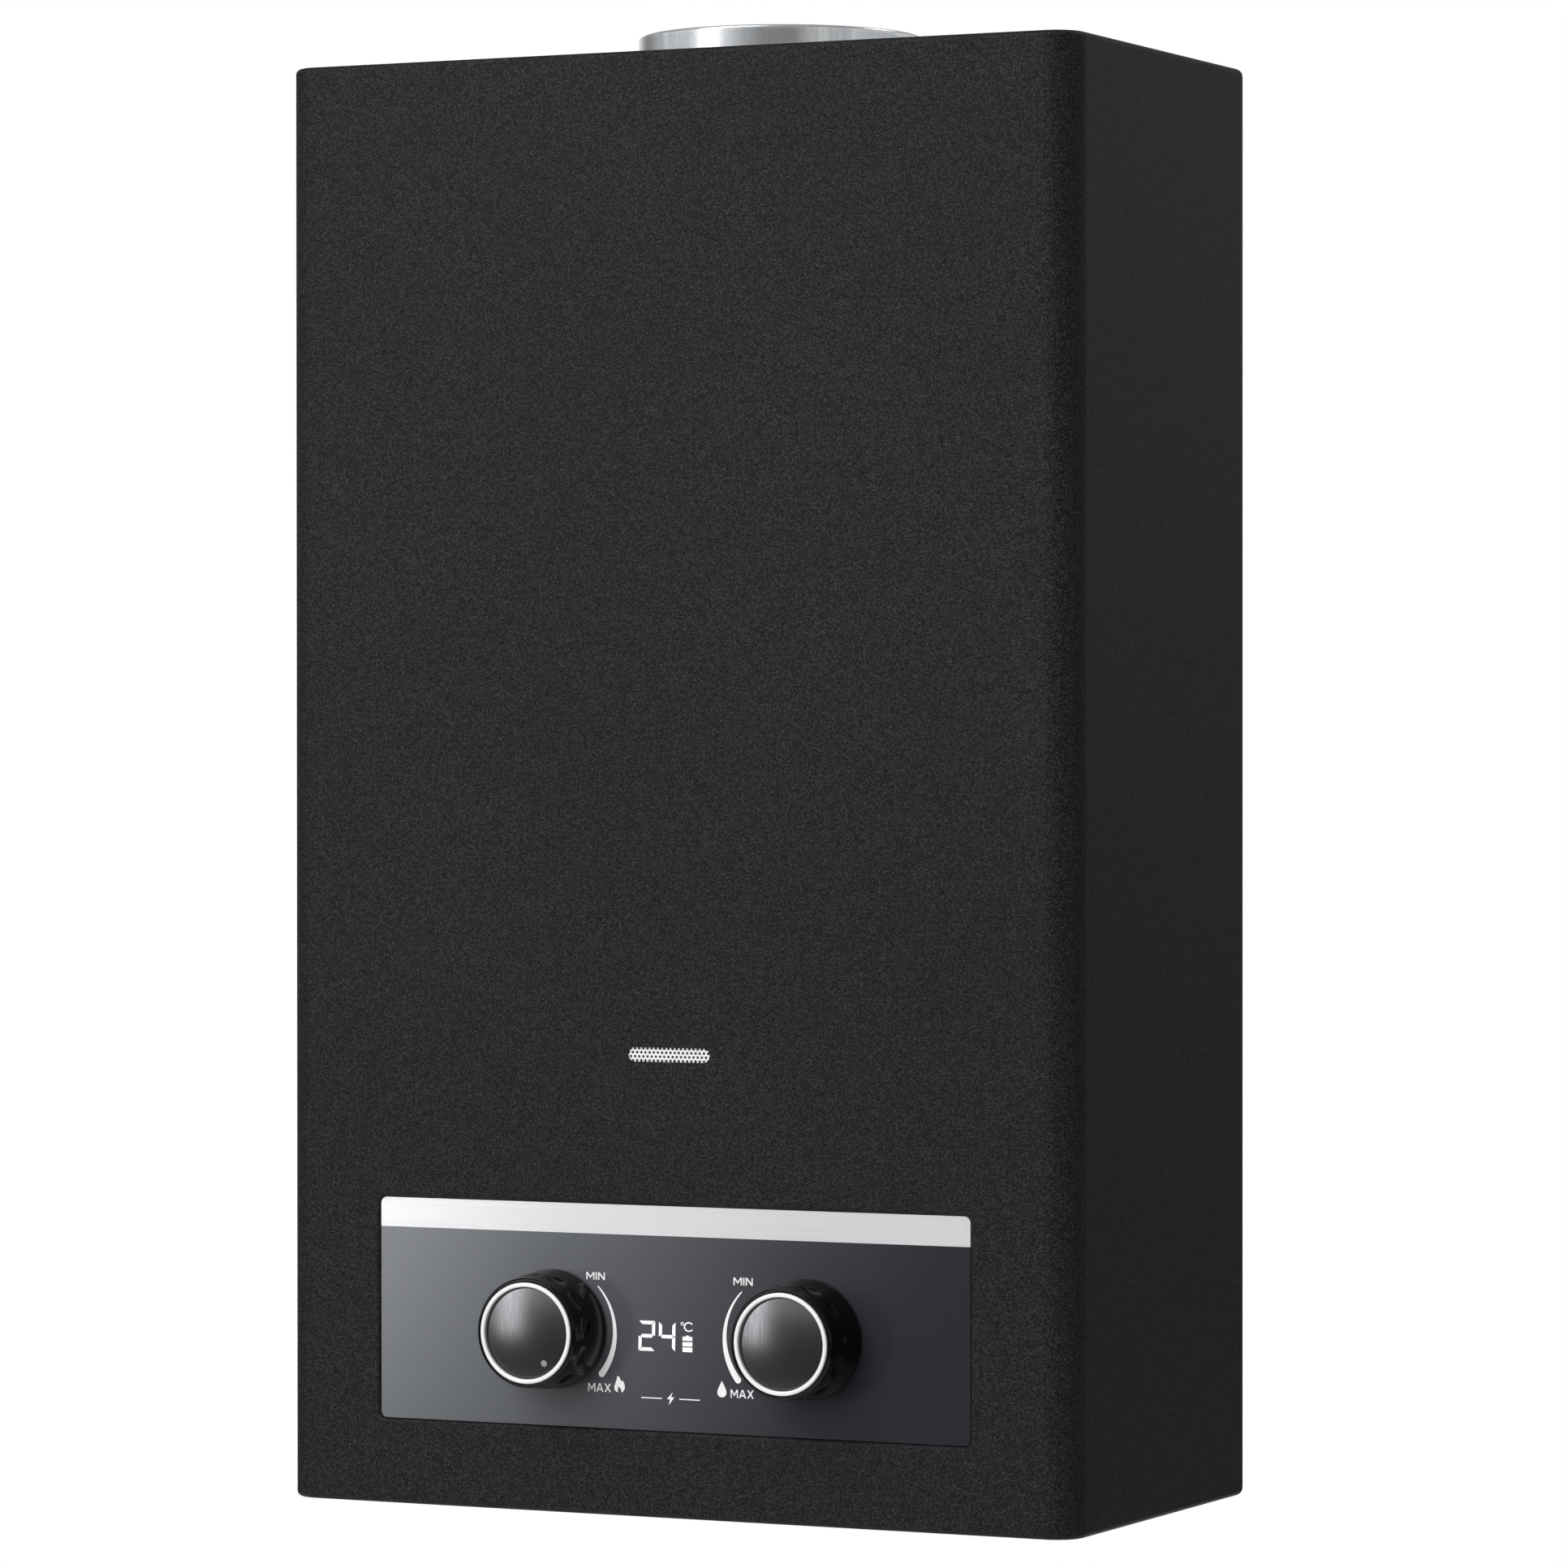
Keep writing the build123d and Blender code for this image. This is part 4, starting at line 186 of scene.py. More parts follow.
grain_fineness, grain_share = 7.0, 0.4
mottle, given, put = effect(
    "mottle", Scale=60.0, Stretch=(1.0, 1.0, 1.0), Dark=(0.1, 0.1, 0.1, 1.0),
    Light=(0.2, 0.2, 0.2, 1.0), Smooth=0.3, Rough=0.5, Relief=0.0,
)
drawn = vectors(mottle, "MULTIPLY", placed(mottle), given["Stretch"])[0]
finer = maths(mottle, "MULTIPLY", given["Scale"], grain_fineness)
cloud = noise(mottle, drawn, given["Scale"], detail=3.0)[0]
grain = noise(mottle, drawn, finer, detail=2.0)[0]
mixed = node(mottle, "ShaderNodeMix", {0: grain_share, 2: cloud, 3: grain}, data_type="FLOAT")
both = mixed.outputs[0]
contrast = ranged(mottle, both, start=0.34, end=0.66)
feed(mottle, put, {
    "Colour": between(mottle, contrast, given["Dark"], given["Light"]),
    "Roughness": ranged(mottle, contrast, low=given["Rough"], high=given["Smooth"]),
    "Normal": bumped(mottle, both, given["Relief"]),
})


def mottled(
    name, dark, light, smooth, rough, scale, relief=0.0, stretch=(1, 1, 1), metallic=0.0, **sockets
):
    """Finish whose colour, dullness and relief follow one cloudy pattern, drawn out by stretch."""
    material, tree, shader = finish(name, light, rough, metallic, **sockets)
    clouds = node(tree, "ShaderNodeGroup", node_tree=mottle)
    feed(tree, clouds, {
        "Scale": scale, "Stretch": stretch, "Dark": (*dark, 1.0), "Light": (*light, 1.0),
        "Smooth": smooth, "Rough": rough, "Relief": relief,
    })
    shown = clouds.outputs
    feed(tree, shader, {"Base Color": shown["Colour"], "Roughness": shown["Roughness"]})
    if relief:
        feed(tree, shader, {"Normal": shown["Normal"]})
    return material


def heat_stained(material, colour, clean_at, stained_at, ragged=0.0):
    """Lay a heat colour over a finish's own between two heights. Ragged noise is taken off the
    height first, so that the edge wanders."""
    tree = material.node_tree
    shader = tree.nodes["Principled BSDF"]
    own = shader.inputs["Base Color"].links[0].from_socket
    place = placed(tree)
    reach = upright(tree, place)
    if ragged:
        edge = noise(tree, place, scale=24.0, detail=4.0)[0]
        reach = maths(tree, "MULTIPLY_ADD", edge, -ragged, reach)
    share = ranged(tree, reach, clean_at, stained_at)
    feed(tree, shader, {"Base Color": between(tree, share, own, (*colour, 1.0))})


copper = mottled(
    "drawn_copper", (0.42, 0.15, 0.075), (0.82, 0.4, 0.24), smooth=0.2, rough=0.42, scale=28.0,
    relief=0.00004, metallic=1.0,
)
scorched = copper.copy()
scorched.name = "scorched_copper"
heat_stained(scorched, (0.02, 0.012, 0.01), clean_at=-0.03, stained_at=-0.1, ragged=0.09)
fin_copper = mottled(
    "fin_copper", (0.5, 0.2, 0.11), (0.85, 0.46, 0.3), smooth=0.25, rough=0.4, scale=70.0,
    relief=0.00002, stretch=(1, 0.3, 1), metallic=1.0,
)
dress(scorched, "exchanger_shell", "exchanger_tube")
dress(copper, "exchanger_coil")
dress(fin_copper, "exchanger_fins")

# Sensors: button cut-outs with a black moulded cap on a steel tab, on the hood and the shell,
# and a probe clipped to the hot pipe.
sensor_black = mottled(
    "sensor_moulding", (0.02, 0.02, 0.021), (0.04, 0.04, 0.042), smooth=0.4, rough=0.55,
    scale=500.0, relief=0.00003,
)
bright_steel = mottled(
    "bright_steel", (0.5, 0.51, 0.53), (0.74, 0.75, 0.77), smooth=0.2, rough=0.34, scale=240.0,
    relief=0.00001, metallic=1.0,
)
dress(sensor_black, "draft_sensor", "overheat_thermostat")
dress(bright_steel, "outlet_sensor")

# Burner: a pressed frame holding eleven thin blades, their stainless steel blued by the flames
# along the top and dull grey below.
frame_steel = mottled(
    "burner_frame_steel", (0.3, 0.3, 0.31), (0.52, 0.53, 0.55), smooth=0.32, rough=0.5,
    scale=90.0, relief=0.00003, metallic=1.0,
)
blade_steel = mottled(
    "blued_stainless", (0.34, 0.34, 0.35), (0.62, 0.62, 0.63), smooth=0.24, rough=0.42,
    scale=130.0, relief=0.00002, stretch=(1, 0.4, 1), metallic=1.0,
)
heat_stained(blade_steel, (0.24, 0.22, 0.3), clean_at=-0.135, stained_at=-0.109)
dress(frame_steel, "burner_frame", "electrode_bracket")
dress(blade_steel, "burner_blades")

# Spark and flame electrodes: bare rods in glazed white ceramic, on a steel bracket in front
# of the burner.
ceramic = mottled(
    "glazed_ceramic", (0.74, 0.72, 0.67), (0.88, 0.87, 0.83), smooth=0.14, rough=0.24,
    scale=120.0, relief=0.00001,
)
dress(ceramic, "electrode_ceramics")
dress(bright_steel, "electrode_rods")

# Gas manifold and valve: sand-textured die castings with turned brass nozzles, a rubber disc
# on a steel spring, a wound solenoid below, and a micro switch on a bracket over the push rod.
casting = mottled(
    "cast_aluminium", (0.4, 0.41, 0.43), (0.62, 0.63, 0.65), smooth=0.38, rough=0.56,
    scale=320.0, relief=0.0001, metallic=1.0,
)
brass = mottled(
    "turned_brass", (0.5, 0.34, 0.13), (0.78, 0.58, 0.27), smooth=0.2, rough=0.36, scale=150.0,
    relief=0.00002, metallic=1.0,
)
rubber = mottled(
    "black_rubber", (0.012, 0.012, 0.012), (0.03, 0.03, 0.03), smooth=0.6, rough=0.78,
    scale=400.0, relief=0.00004,
)
coil_plastic = mottled(
    "coil_moulding", (0.03, 0.03, 0.034), (0.06, 0.06, 0.066), smooth=0.4, rough=0.56,
    scale=380.0, relief=0.00004,
)
dress(casting, "gas_manifold", "gas_valve_body", "gas_valve_cap")
dress(brass, "gas_nozzles")
dress(rubber, "gas_valve_disc", "water_diaphragm")
dress(coil_plastic, "solenoid_coil", "microswitch")
dress(bright_steel, "solenoid_plunger", "switch_lever", "switch_bracket")

# Return spring: six turns of round steel wire between the valve's cap and the gas disc, which the
# push rod squeezes when it opens the disc. The coil is built unsqueezed, at the length of its CAD
# part.
spring_low, spring_high = (np.array(corner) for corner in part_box("gas_return_spring"))
spring_wire, spring_travel, spring_turns = 0.0006, 0.004, 6
turn_steps, wire_sides = 48, 16


def skin(rings, closed=False, start_cap=False, end_cap=False):
    """Surface through a stack of rings: grid point (row, column) is rings[row, column], columns
    wrap round, rows wrap if closed, and a capped end is a fan about the mean of its ring."""
    rows, columns = rings.shape[:2]
    spots = np.arange(rows * columns).reshape(rows, columns)
    low = spots if closed else spots[:-1]
    high = np.roll(spots, -1, 0) if closed else spots[1:]
    quads = np.stack([low, np.roll(low, -1, 1), np.roll(high, -1, 1), high], -1).reshape(-1, 4)
    points, faces = [rings.reshape(-1, 3)], quads.tolist()
    for wanted, row, turn in ((start_cap, 0, 1), (end_cap, -1, -1)):
        if wanted:
            middle = sum(len(part) for part in points)
            points.append(rings[row].mean(0, keepdims=True))
            rim = spots[row][::-turn]
            faces += np.stack([rim, np.roll(rim, -1), np.full(columns, middle)], -1).tolist()
    return np.concatenate(points), faces


def piece(name, points, faces, material, body, slot, *stands_for):
    """Finished mesh in its place, riding a body and standing for the CAD nodes it replaces."""
    mesh = bpy.data.meshes.new(name)
    mesh.from_pydata(points, [], faces)
    mesh.shade_smooth()
    mesh.materials.append(material)
    made = bpy.data.objects.new(name, mesh)
    bpy.context.scene.collection.objects.link(made)
    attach(made, body)
    if stands_for:
        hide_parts(*stands_for)
    return made


def round_about(count):
    """Angles of a full turn in equal steps, the first not repeated."""
    return np.linspace(0, 2 * np.pi, count, endpoint=False)


# The wire's round section, tilted by the coil's slope, is carried along a helix on the X axis.
wound, around = np.meshgrid(
    np.linspace(0, 1, turn_steps * spring_turns + 1), round_about(wire_sides), indexing="ij",
)
spring_angle = 2 * np.pi * spring_turns * wound
spring_axis = (spring_low + spring_high) / 2
spring_radius = (spring_high[1] - spring_low[1]) / 2 - spring_wire
spring_length = spring_high[0] - spring_low[0]
spring_run = spring_length - 2 * spring_wire
slope = np.arctan2(spring_run, 2 * np.pi * spring_turns * spring_radius)
reach = spring_radius + spring_wire * np.cos(around)
lift = spring_wire * np.sin(around)
tilt = lift * np.sin(slope)
spring_rings = np.stack([
    spring_low[0] + spring_wire + spring_run * wound - lift * np.cos(slope),
    spring_axis[1] + reach * np.cos(spring_angle) - tilt * np.sin(spring_angle),
    spring_axis[2] + reach * np.sin(spring_angle) + tilt * np.cos(spring_angle),
], -1)
spring = piece(
    "return_spring_coil", *skin(spring_rings, start_cap=True, end_cap=True), bright_steel,
    "cabinet", "plain_steel", "gas_return_spring",
)
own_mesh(spring)

# Water section: a cast body and cover clamped round the rubber diaphragm, whose push rod opens the
# gas disc; a brass plug drains it.
dress(casting, "water_valve_body", "water_valve_cover")
dress(brass, "drain_plug")
dress(bright_steel, "push_rod", "gas_spindle", "water_spindle")

# Pipes: drawn copper tubes, bent to lead the gas and the water between the connections, the
# valves and the exchanger, with brass union nuts at their ends.
dress(copper, "cold_pipe", "hot_pipe", "gas_pipe")
dress(brass, "union_nuts")

# Connections: three turned brass fittings, each with a flange on the pipe shelf and a half-inch
# pipe thread below it, open right through.
fitting_places = {"gas_inlet": -0.049, "cold_inlet": 0.057, "hot_outlet": -0.132}
fitting_y = -0.0405
thread_bottom, thread_top, thread_rows = -0.2875, -0.2746, 86
thread_crest, thread_root, thread_pitch = 0.01048, 0.00935, 0.001814
thread_start, thread_runout, thread_chamfer = 0.0002, 0.0013, 0.0003
tooth_steepness, tooth_flat = 1.5, 0.25
bore_radius, neck_radius, shank_radius = 0.0055, 0.0065, 0.0094
flange_half_x, flange_half_y, flange_corner, flange_edge = 0.013, 0.022, 0.006, 0.0006
flange_power, flange_stretch = 0.45, 1.25
shelf_top, flange_top, neck_top = -0.2725, -0.2685, -0.2585


def flange_ring(angle, half_x, half_y, corner):
    """Rounded rectangle by direction: cosine and sine, raised to a low power and stretched past
    the sides, are held to the rectangle less its corners, and the corner radius is added."""
    way = np.stack([np.cos(angle), np.sin(angle)], -1)
    half = np.array([half_x, half_y])
    bold = np.abs(way) ** flange_power * np.sign(way)
    return np.clip(bold * half * flange_stretch, corner - half, half - corner) + corner * way


# The thread's radius rises from root to crest by a flat-topped sawtooth of height over pitch less
# the share of a turn, which fades out at both ends.
turn = round_about(96)
circle = np.stack([np.cos(turn), np.sin(turn)], -1)
thread_z = np.linspace(thread_bottom + thread_start, thread_top, thread_rows)
tooth = np.abs(((thread_z[:, None] / thread_pitch - turn / (2 * np.pi)) % 1.0) * 2 - 1)
from_end = np.minimum(thread_z - thread_bottom, thread_top - thread_z)[:, None]
crest_share = np.clip(tooth * tooth_steepness - tooth_flat, 0, 1)
crest_share = crest_share * np.clip(from_end / thread_runout, 0, 1)
thread_radius = thread_root + (thread_crest - thread_root) * crest_share
fitting = [
    (circle * bore_radius, thread_bottom),
    (circle * (thread_root - thread_chamfer), thread_bottom),
    *((circle * radius[:, None], z) for radius, z in zip(thread_radius, thread_z)),
    (circle * shank_radius, thread_top),
    (circle * shank_radius, shelf_top),
]
for inset, z in (
    (flange_edge, shelf_top), (0.0, shelf_top + flange_edge),
    (0.0, flange_top - flange_edge), (flange_edge, flange_top),
):
    halves = flange_half_x - inset, flange_half_y - inset
    fitting.append((flange_ring(turn, *halves, flange_corner - inset), z))
fitting += [
    (circle * neck_radius, flange_top), (circle * neck_radius, neck_top),
    (circle * bore_radius, neck_top),
]
for name, fitting_x in fitting_places.items():
    rings = np.stack([
        np.column_stack([flat + (fitting_x, fitting_y), np.full(len(turn), z)])
        for flat, z in fitting
    ])
    piece(name + "_threaded", *skin(rings, closed=True), brass, "cabinet", "brass", name)

# Battery box: a moulded black box for two upright cells, closed from below by a door that swings
# on a steel pin. The cells wear a plain two-tone wrap and have bare metal ends.
moulded_black = mottled(
    "moulded_black", (0.02, 0.02, 0.021), (0.036, 0.036, 0.038), smooth=0.42, rough=0.58,
    scale=700.0, relief=0.00005,
)
wrap_black, wrap_copper = (0.03, 0.031, 0.036, 1.0), (0.55, 0.33, 0.16, 1.0)
bare_metal = (0.7, 0.7, 0.7, 1.0)
cell_rim, cell_band, cell_shoulder = 0.0006, -0.226, -0.2095
cell_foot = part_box("battery_cells")[0][2] + cell_rim
cell_wrap, tree, shader = finish("cell_wrap", (0.03, 0.03, 0.035), 0.3)
place = placed(tree)
height = upright(tree, place)
band = maths(tree, "GREATER_THAN", height, cell_band)
top_end = maths(tree, "GREATER_THAN", height, cell_shoulder)
low_end = maths(tree, "LESS_THAN", height, cell_foot)
ends = maths(tree, "MAXIMUM", top_end, low_end)
wrap = between(tree, band, wrap_black, wrap_copper)
smudge = noise(tree, place, scale=180.0, detail=3.0)[0]
feed(tree, shader, {
    "Base Color": between(tree, ends, wrap, bare_metal),
    "Roughness": ranged(tree, smudge, low=0.22, high=0.4),
    "Metallic": maths(tree, "MAXIMUM", band, ends),
})
dress(moulded_black, "battery_box", "battery_door")
dress(cell_wrap, "battery_cells")
dress(bright_steel, "battery_contacts", "battery_door_pin")

# Ignition controller: a pale moulded case low on the right side, with red silicone leads to the
# electrodes, the display and the cells.
controller_case = mottled(
    "controller_case", (0.58, 0.58, 0.55), (0.7, 0.7, 0.67), smooth=0.42, rough=0.55,
    scale=600.0, relief=0.00004,
)
lead_red = mottled(
    "lead_silicone", (0.3, 0.02, 0.016), (0.5, 0.045, 0.035), smooth=0.4, rough=0.55,
    scale=260.0, relief=0.00003,
)
dress(controller_case, "ignition_controller")
dress(lead_red, "wire_leads")

# Front cover: folded steel sheet in black powder coat, baked to a fine sandy skin whose grains
# catch the light one by one. It slides over the tray and is held by four screws.
grain_dark, grain_light = (0.005, 0.005, 0.0056, 1.0), (0.042, 0.042, 0.0445, 1.0)
grain_rarity, sand_depth, sand_strength = 2.5, 0.00012, 0.6
powder, tree, shader = finish(
    "powder_coat", (0.012, 0.012, 0.013), 0.5, **{"Specular IOR Level": 0.14},
)
place = placed(tree)
chance = crystals(tree, place, scale=2700.0)[1]
bright = maths(tree, "POWER", chance["Red"], grain_rarity)
sand = noise(tree, place, scale=1500.0, detail=3.0)[0]
drift = noise(tree, place, scale=7.0, detail=2.0)[0]
lot = maths(tree, "MULTIPLY", bright, ranged(tree, drift, low=0.8, high=1.2))
feed(tree, shader, {
    "Base Color": between(tree, lot, grain_dark, grain_light),
    "Roughness": ranged(tree, sand, low=0.42, high=0.62),
    "Normal": bumped(tree, sand, sand_depth, sand_strength),
})
dress(powder, "front_cover")

# Flame window: a bright perforated strip behind the slot in the cover, four staggered rows of
# punched holes.
window_steel = mottled(
    "window_steel", (0.78, 0.78, 0.785), (0.9, 0.9, 0.905), smooth=0.36, rough=0.48, scale=300.0,
    relief=0.00002, metallic=0.2,
)
dress(window_steel, "sight_grille")

# Control panel: a glossy smoked acrylic sheet on a moulded carrier, with a satin silver band
# inlaid along its top and the display board behind it. Its base colour fades from grey-blue on the
# left to near black on the right. This is painted light and shade standing in for a soft lamp's
# reflection, beside the real reflection that the gloss shows.
painted_shade_colour, painted_light_colour = (0.0205, 0.0225, 0.0285, 1.0), (0.168, 0.177, 0.19, 1.0)
painted_light_way, painted_light_start, painted_light_end, painted_light_power = (1.0, 0.0, -0.6), -0.01, 0.225, 1.5


def along(tree, place, way):
    """How far a place lies along a way: their dot product."""
    return vectors(tree, "DOT_PRODUCT", place, way)["Value"]


panel_gloss, tree, shader = finish("panel_gloss", (0.05, 0.053, 0.06), 0.2)
place = placed(tree)
# Painted light: the base colour runs from pale at the left to dark at the right, in place of a
# lamp's reflection.
painted_light_share = ranged(tree, along(tree, place, painted_light_way), painted_light_start, painted_light_end, low=1.0, high=0.0)
haze = noise(tree, place, scale=240.0, detail=3.0)[0]
feed(tree, shader, {
    "Base Color": between(tree, maths(tree, "POWER", painted_light_share, painted_light_power), painted_shade_colour, painted_light_colour),
    "Roughness": ranged(tree, haze, low=0.195, high=0.215),
})
band_silver = mottled(
    "band_silver", (0.74, 0.745, 0.755), (0.8, 0.805, 0.815), smooth=0.19, rough=0.24,
    scale=900.0, relief=0.000002, stretch=(0.02, 1, 1), metallic=0.22,
)
board_green = mottled(
    "display_board", (0.012, 0.05, 0.025), (0.02, 0.075, 0.04), smooth=0.35, rough=0.5,
    scale=220.0, relief=0.00003,
)
dress(panel_gloss, "control_fascia")
dress(band_silver, "fascia_band")
dress(moulded_black, "fascia_carrier")
dress(board_green, "display_module")

# Printed signs: pale ink screened on the panel, a tapering arc beside each knob from least to
# most, a flame, a drop, and a small spark sign under the display.
ink_white = mottled(
    "panel_ink", (0.92, 0.92, 0.93), (0.96, 0.96, 0.97), smooth=0.4, rough=0.52, scale=300.0,
)
panel_front, cabinet_foot = -0.164, -0.275
ink_height, ink_merge = 0.00006, 0.000002
flats, flat_faces = [], []


def grid_faces(rows, columns):
    """Quads of an open grid, each between two rows and two columns that lie side by side."""
    spots = np.arange(rows * columns).reshape(rows, columns)
    quads = np.stack([spots[:-1, :-1], spots[:-1, 1:], spots[1:, 1:], spots[1:, :-1]], -1)
    return quads.reshape(-1, 4).tolist()


def lay(flat, faces=None):
    """Add a flat shape, in X and height above the cabinet's foot, to the shapes to be printed.
    Without faces it is one outline."""
    first = sum(len(part) for part in flats)
    flats.append(np.asarray(flat, float))
    faces = faces or [range(len(flat))]
    flat_faces.extend([[first + spot for spot in face] for face in faces])


def printed(name, material):
    """Turn the laid shapes into one ink film on the panel's face, facing the front."""
    points = np.concatenate(flats)
    depth = np.full(len(points), panel_front)
    spots = np.column_stack([points[:, 0], depth, points[:, 1] + cabinet_foot])
    film = piece(name, spots, flat_faces, material, "cabinet", "silver_trim")
    film.data.shade_flat()
    joined = bmesh.new()
    joined.from_mesh(film.data)
    bmesh.ops.remove_doubles(joined, verts=joined.verts, dist=ink_merge)
    joined.to_mesh(film.data)
    joined.free()
    for polygon in film.data.polygons:
        if polygon.normal.y > 0:
            polygon.flip()
    thick = film.modifiers.new("film", "SOLIDIFY")
    thick.thickness, thick.offset = ink_height, 1.0
    flats.clear()
    flat_faces.clear()


# Letters: outlines of unit height. The one with a hole is cut in two faces down its middle.
letter_gap = 0.17
letters = {
    "M": [
        [0, 0], [0, 1], [0.2, 1], [0.575, 0.46], [0.95, 1], [1.15, 1], [1.15, 0], [0.98, 0],
        [0.98, 0.74], [0.575, 0.17], [0.17, 0.74], [0.17, 0],
    ],
    "I": [[0, 0], [0, 1], [0.18, 1], [0.18, 0]],
    "N": [
        [0, 0], [0, 1], [0.2, 1], [0.78, 0.27], [0.78, 1], [0.95, 1], [0.95, 0], [0.75, 0],
        [0.17, 0.73], [0.17, 0],
    ],
    "A": [
        [0, 0], [0.43, 1], [0.55, 1], [0.67, 1], [1.1, 0], [0.91, 0], [0.82, 0.22], [0.55, 0.22],
        [0.28, 0.22], [0.19, 0], [0.345, 0.38], [0.55, 0.85], [0.755, 0.38], [0.55, 0.38],
    ],
    "X": [
        [0, 0], [0.405, 0.51], [0.02, 1], [0.24, 1], [0.525, 0.64], [0.81, 1], [1.03, 1],
        [0.645, 0.51], [1.05, 0], [0.83, 0], [0.525, 0.38], [0.22, 0],
    ],
}
letter_halves = {"A": [[0, 1, 2, 11, 10, 13, 7, 8, 9], [2, 3, 4, 5, 6, 7, 13, 12, 11]]}


def write(word, left, right, low, high):
    """Lay a word to fill a box: unit outlines set side by side, then scaled to its sides."""
    pen, drawn = 0.0, []
    for sign in word:
        drawn.append(np.array(letters[sign]) + (pen, 0.0))
        pen = drawn[-1][:, 0].max() + letter_gap
    size = (right - left) / (pen - letter_gap), high - low
    for sign, outline in zip(word, drawn):
        lay(np.array([left, low]) + outline * size, letter_halves.get(sign))


# Arcs: a strip about a circle, as wide as the share of its sweep asks, with both ends rounded.
arc_radius, arc_thin, arc_thick = 0.0246, 0.0005, 0.0026
arc_middle, arc_height, arc_start, arc_sweep = 0.0476, 0.0687, 45.0, 87.3
thin_round, thick_round = 0.008, 0.034
arc_rows, arc_columns = 80, 5
share, across = np.meshgrid(
    0.5 - 0.5 * np.cos(np.linspace(0, np.pi, arc_rows)), np.linspace(-0.5, 0.5, arc_columns),
    indexing="ij",
)
sweep = np.radians(arc_start - arc_sweep * share)
start_round = np.sqrt(1 - np.clip(1 - share / thin_round, 0, 1) ** 2)
end_round = np.sqrt(1 - np.clip(1 - (1 - share) / thick_round, 0, 1) ** 2)
width = (arc_thin + (arc_thick - arc_thin) * share) * np.minimum(start_round, end_round)
radius = arc_radius + across * width
for side in (-1, 1):
    arc_x = side * (arc_middle - radius * np.cos(sweep))
    flat = np.stack([arc_x, arc_height + radius * np.sin(sweep)], -1)
    lay(flat.reshape(-1, 2), grid_faces(arc_rows, arc_columns))
write("MIN", left=-0.0351, right=-0.0272, low=0.08845, high=0.09125)
write("MAX", left=-0.03435, right=-0.02465, low=0.0463, high=0.0495)
write("MIN", left=0.0267, right=0.0347, low=0.08845, high=0.09135)
write("MAX", left=0.0255, right=0.0351, low=0.0464, high=0.0495)

# Flame: the strip between an outer run with two tongues and an inner tongue, both in millimetres,
# read off in even steps between their knots and smoothed along.
millimetre = 0.001
flame_place, flame_steps = np.array([-0.021, 0.0464]), 71
outer = np.array([
    [-1.0, 0.05], [-2.0, 0.7], [-2.25, 2.0], [-1.75, 3.6], [-1.25, 4.7], [-0.95, 6.3], [-0.2, 5.8],
    [0.4, 4.8], [0.68, 3.95], [0.98, 4.65], [1.7, 4.0], [2.2, 2.5], [2.1, 1.3], [1.2, 0.05],
])
inner = np.array([
    [-0.75, 0.05], [-0.75, 1.0], [-0.65, 1.9], [-0.5, 2.4], [0.1, 1.7], [0.55, 1.2], [0.75, 0.7],
    [0.75, 0.05],
])
outer_knots = [0, 0.1, 0.2, 0.3, 0.38, 0.45, 0.52, 0.58, 0.63, 0.68, 0.76, 0.84, 0.92, 1.0]
inner_knots = [0, 0.17, 0.34, 0.45, 0.6, 0.75, 0.88, 1.0]
steps = np.linspace(0, 1, flame_steps)
flame = []
for run, knots in ((outer, outer_knots), (inner, inner_knots)):
    outline = np.stack([np.interp(steps, knots, run[:, axis]) for axis in (0, 1)], -1)
    for axis in (0, 1):
        outline[1:-1, axis] = np.convolve(outline[:, axis], np.ones(3) / 3, "valid")
    flame.append(outline)
lay(flame_place + millimetre * np.concatenate(flame), grid_faces(2, flame_steps))

# Drop: a round foot drawn up to a point. Its height follows cos t, and its half width sin t times
# sin half t to the power 1.5.
drop_x, drop_z, drop_power = 0.02187, 0.0495, 1.5
drop_half_width, drop_half_height = 0.00265, 0.0031
angle = round_about(48)
drop_width = drop_half_width * np.sin(angle) * np.abs(np.sin(angle / 2)) ** drop_power
lay(np.stack([drop_x + drop_width, drop_z + drop_half_height * np.cos(angle)], -1))

# Spark sign: a zigzag bolt, in millimetres, between two short rules.
bolt_place = np.array([0.0004, 0.0428])
bolt = np.array([[0.9, 4.6], [-1.5, 1.9], [-0.1, 1.9], [-0.8, -0.4], [1.6, 2.7], [0.2, 2.7]])
rule_low, rule_high = 0.0447, 0.0451
lay(bolt_place + millimetre * bolt, [[0, 1, 2, 5], [2, 3, 4, 5]])
for left, right in ((-0.0118, -0.0032), (0.0041, 0.0127)):
    lay([[left, rule_low], [right, rule_low], [right, rule_high], [left, rule_high]])
printed("panel_print", ink_white)

# Lit display: slanted seven-bar digits, a degree sign and a three-bar cell gauge glowing white
# through the dark panel.
glow_cool, glow_white = (0.78, 0.83, 0.88, 1.0), (1.0, 1.0, 1.0, 1.0)
lit_white, tree, shader = finish(
    "lit_white", (0.8, 0.82, 0.84), 0.4, **{"Emission Strength": 0.35},
)
glow = noise(tree, placed(tree), scale=900.0, detail=1.0)[0]
feed(tree, shader, {"Emission Color": between(tree, glow, glow_cool, glow_white)})

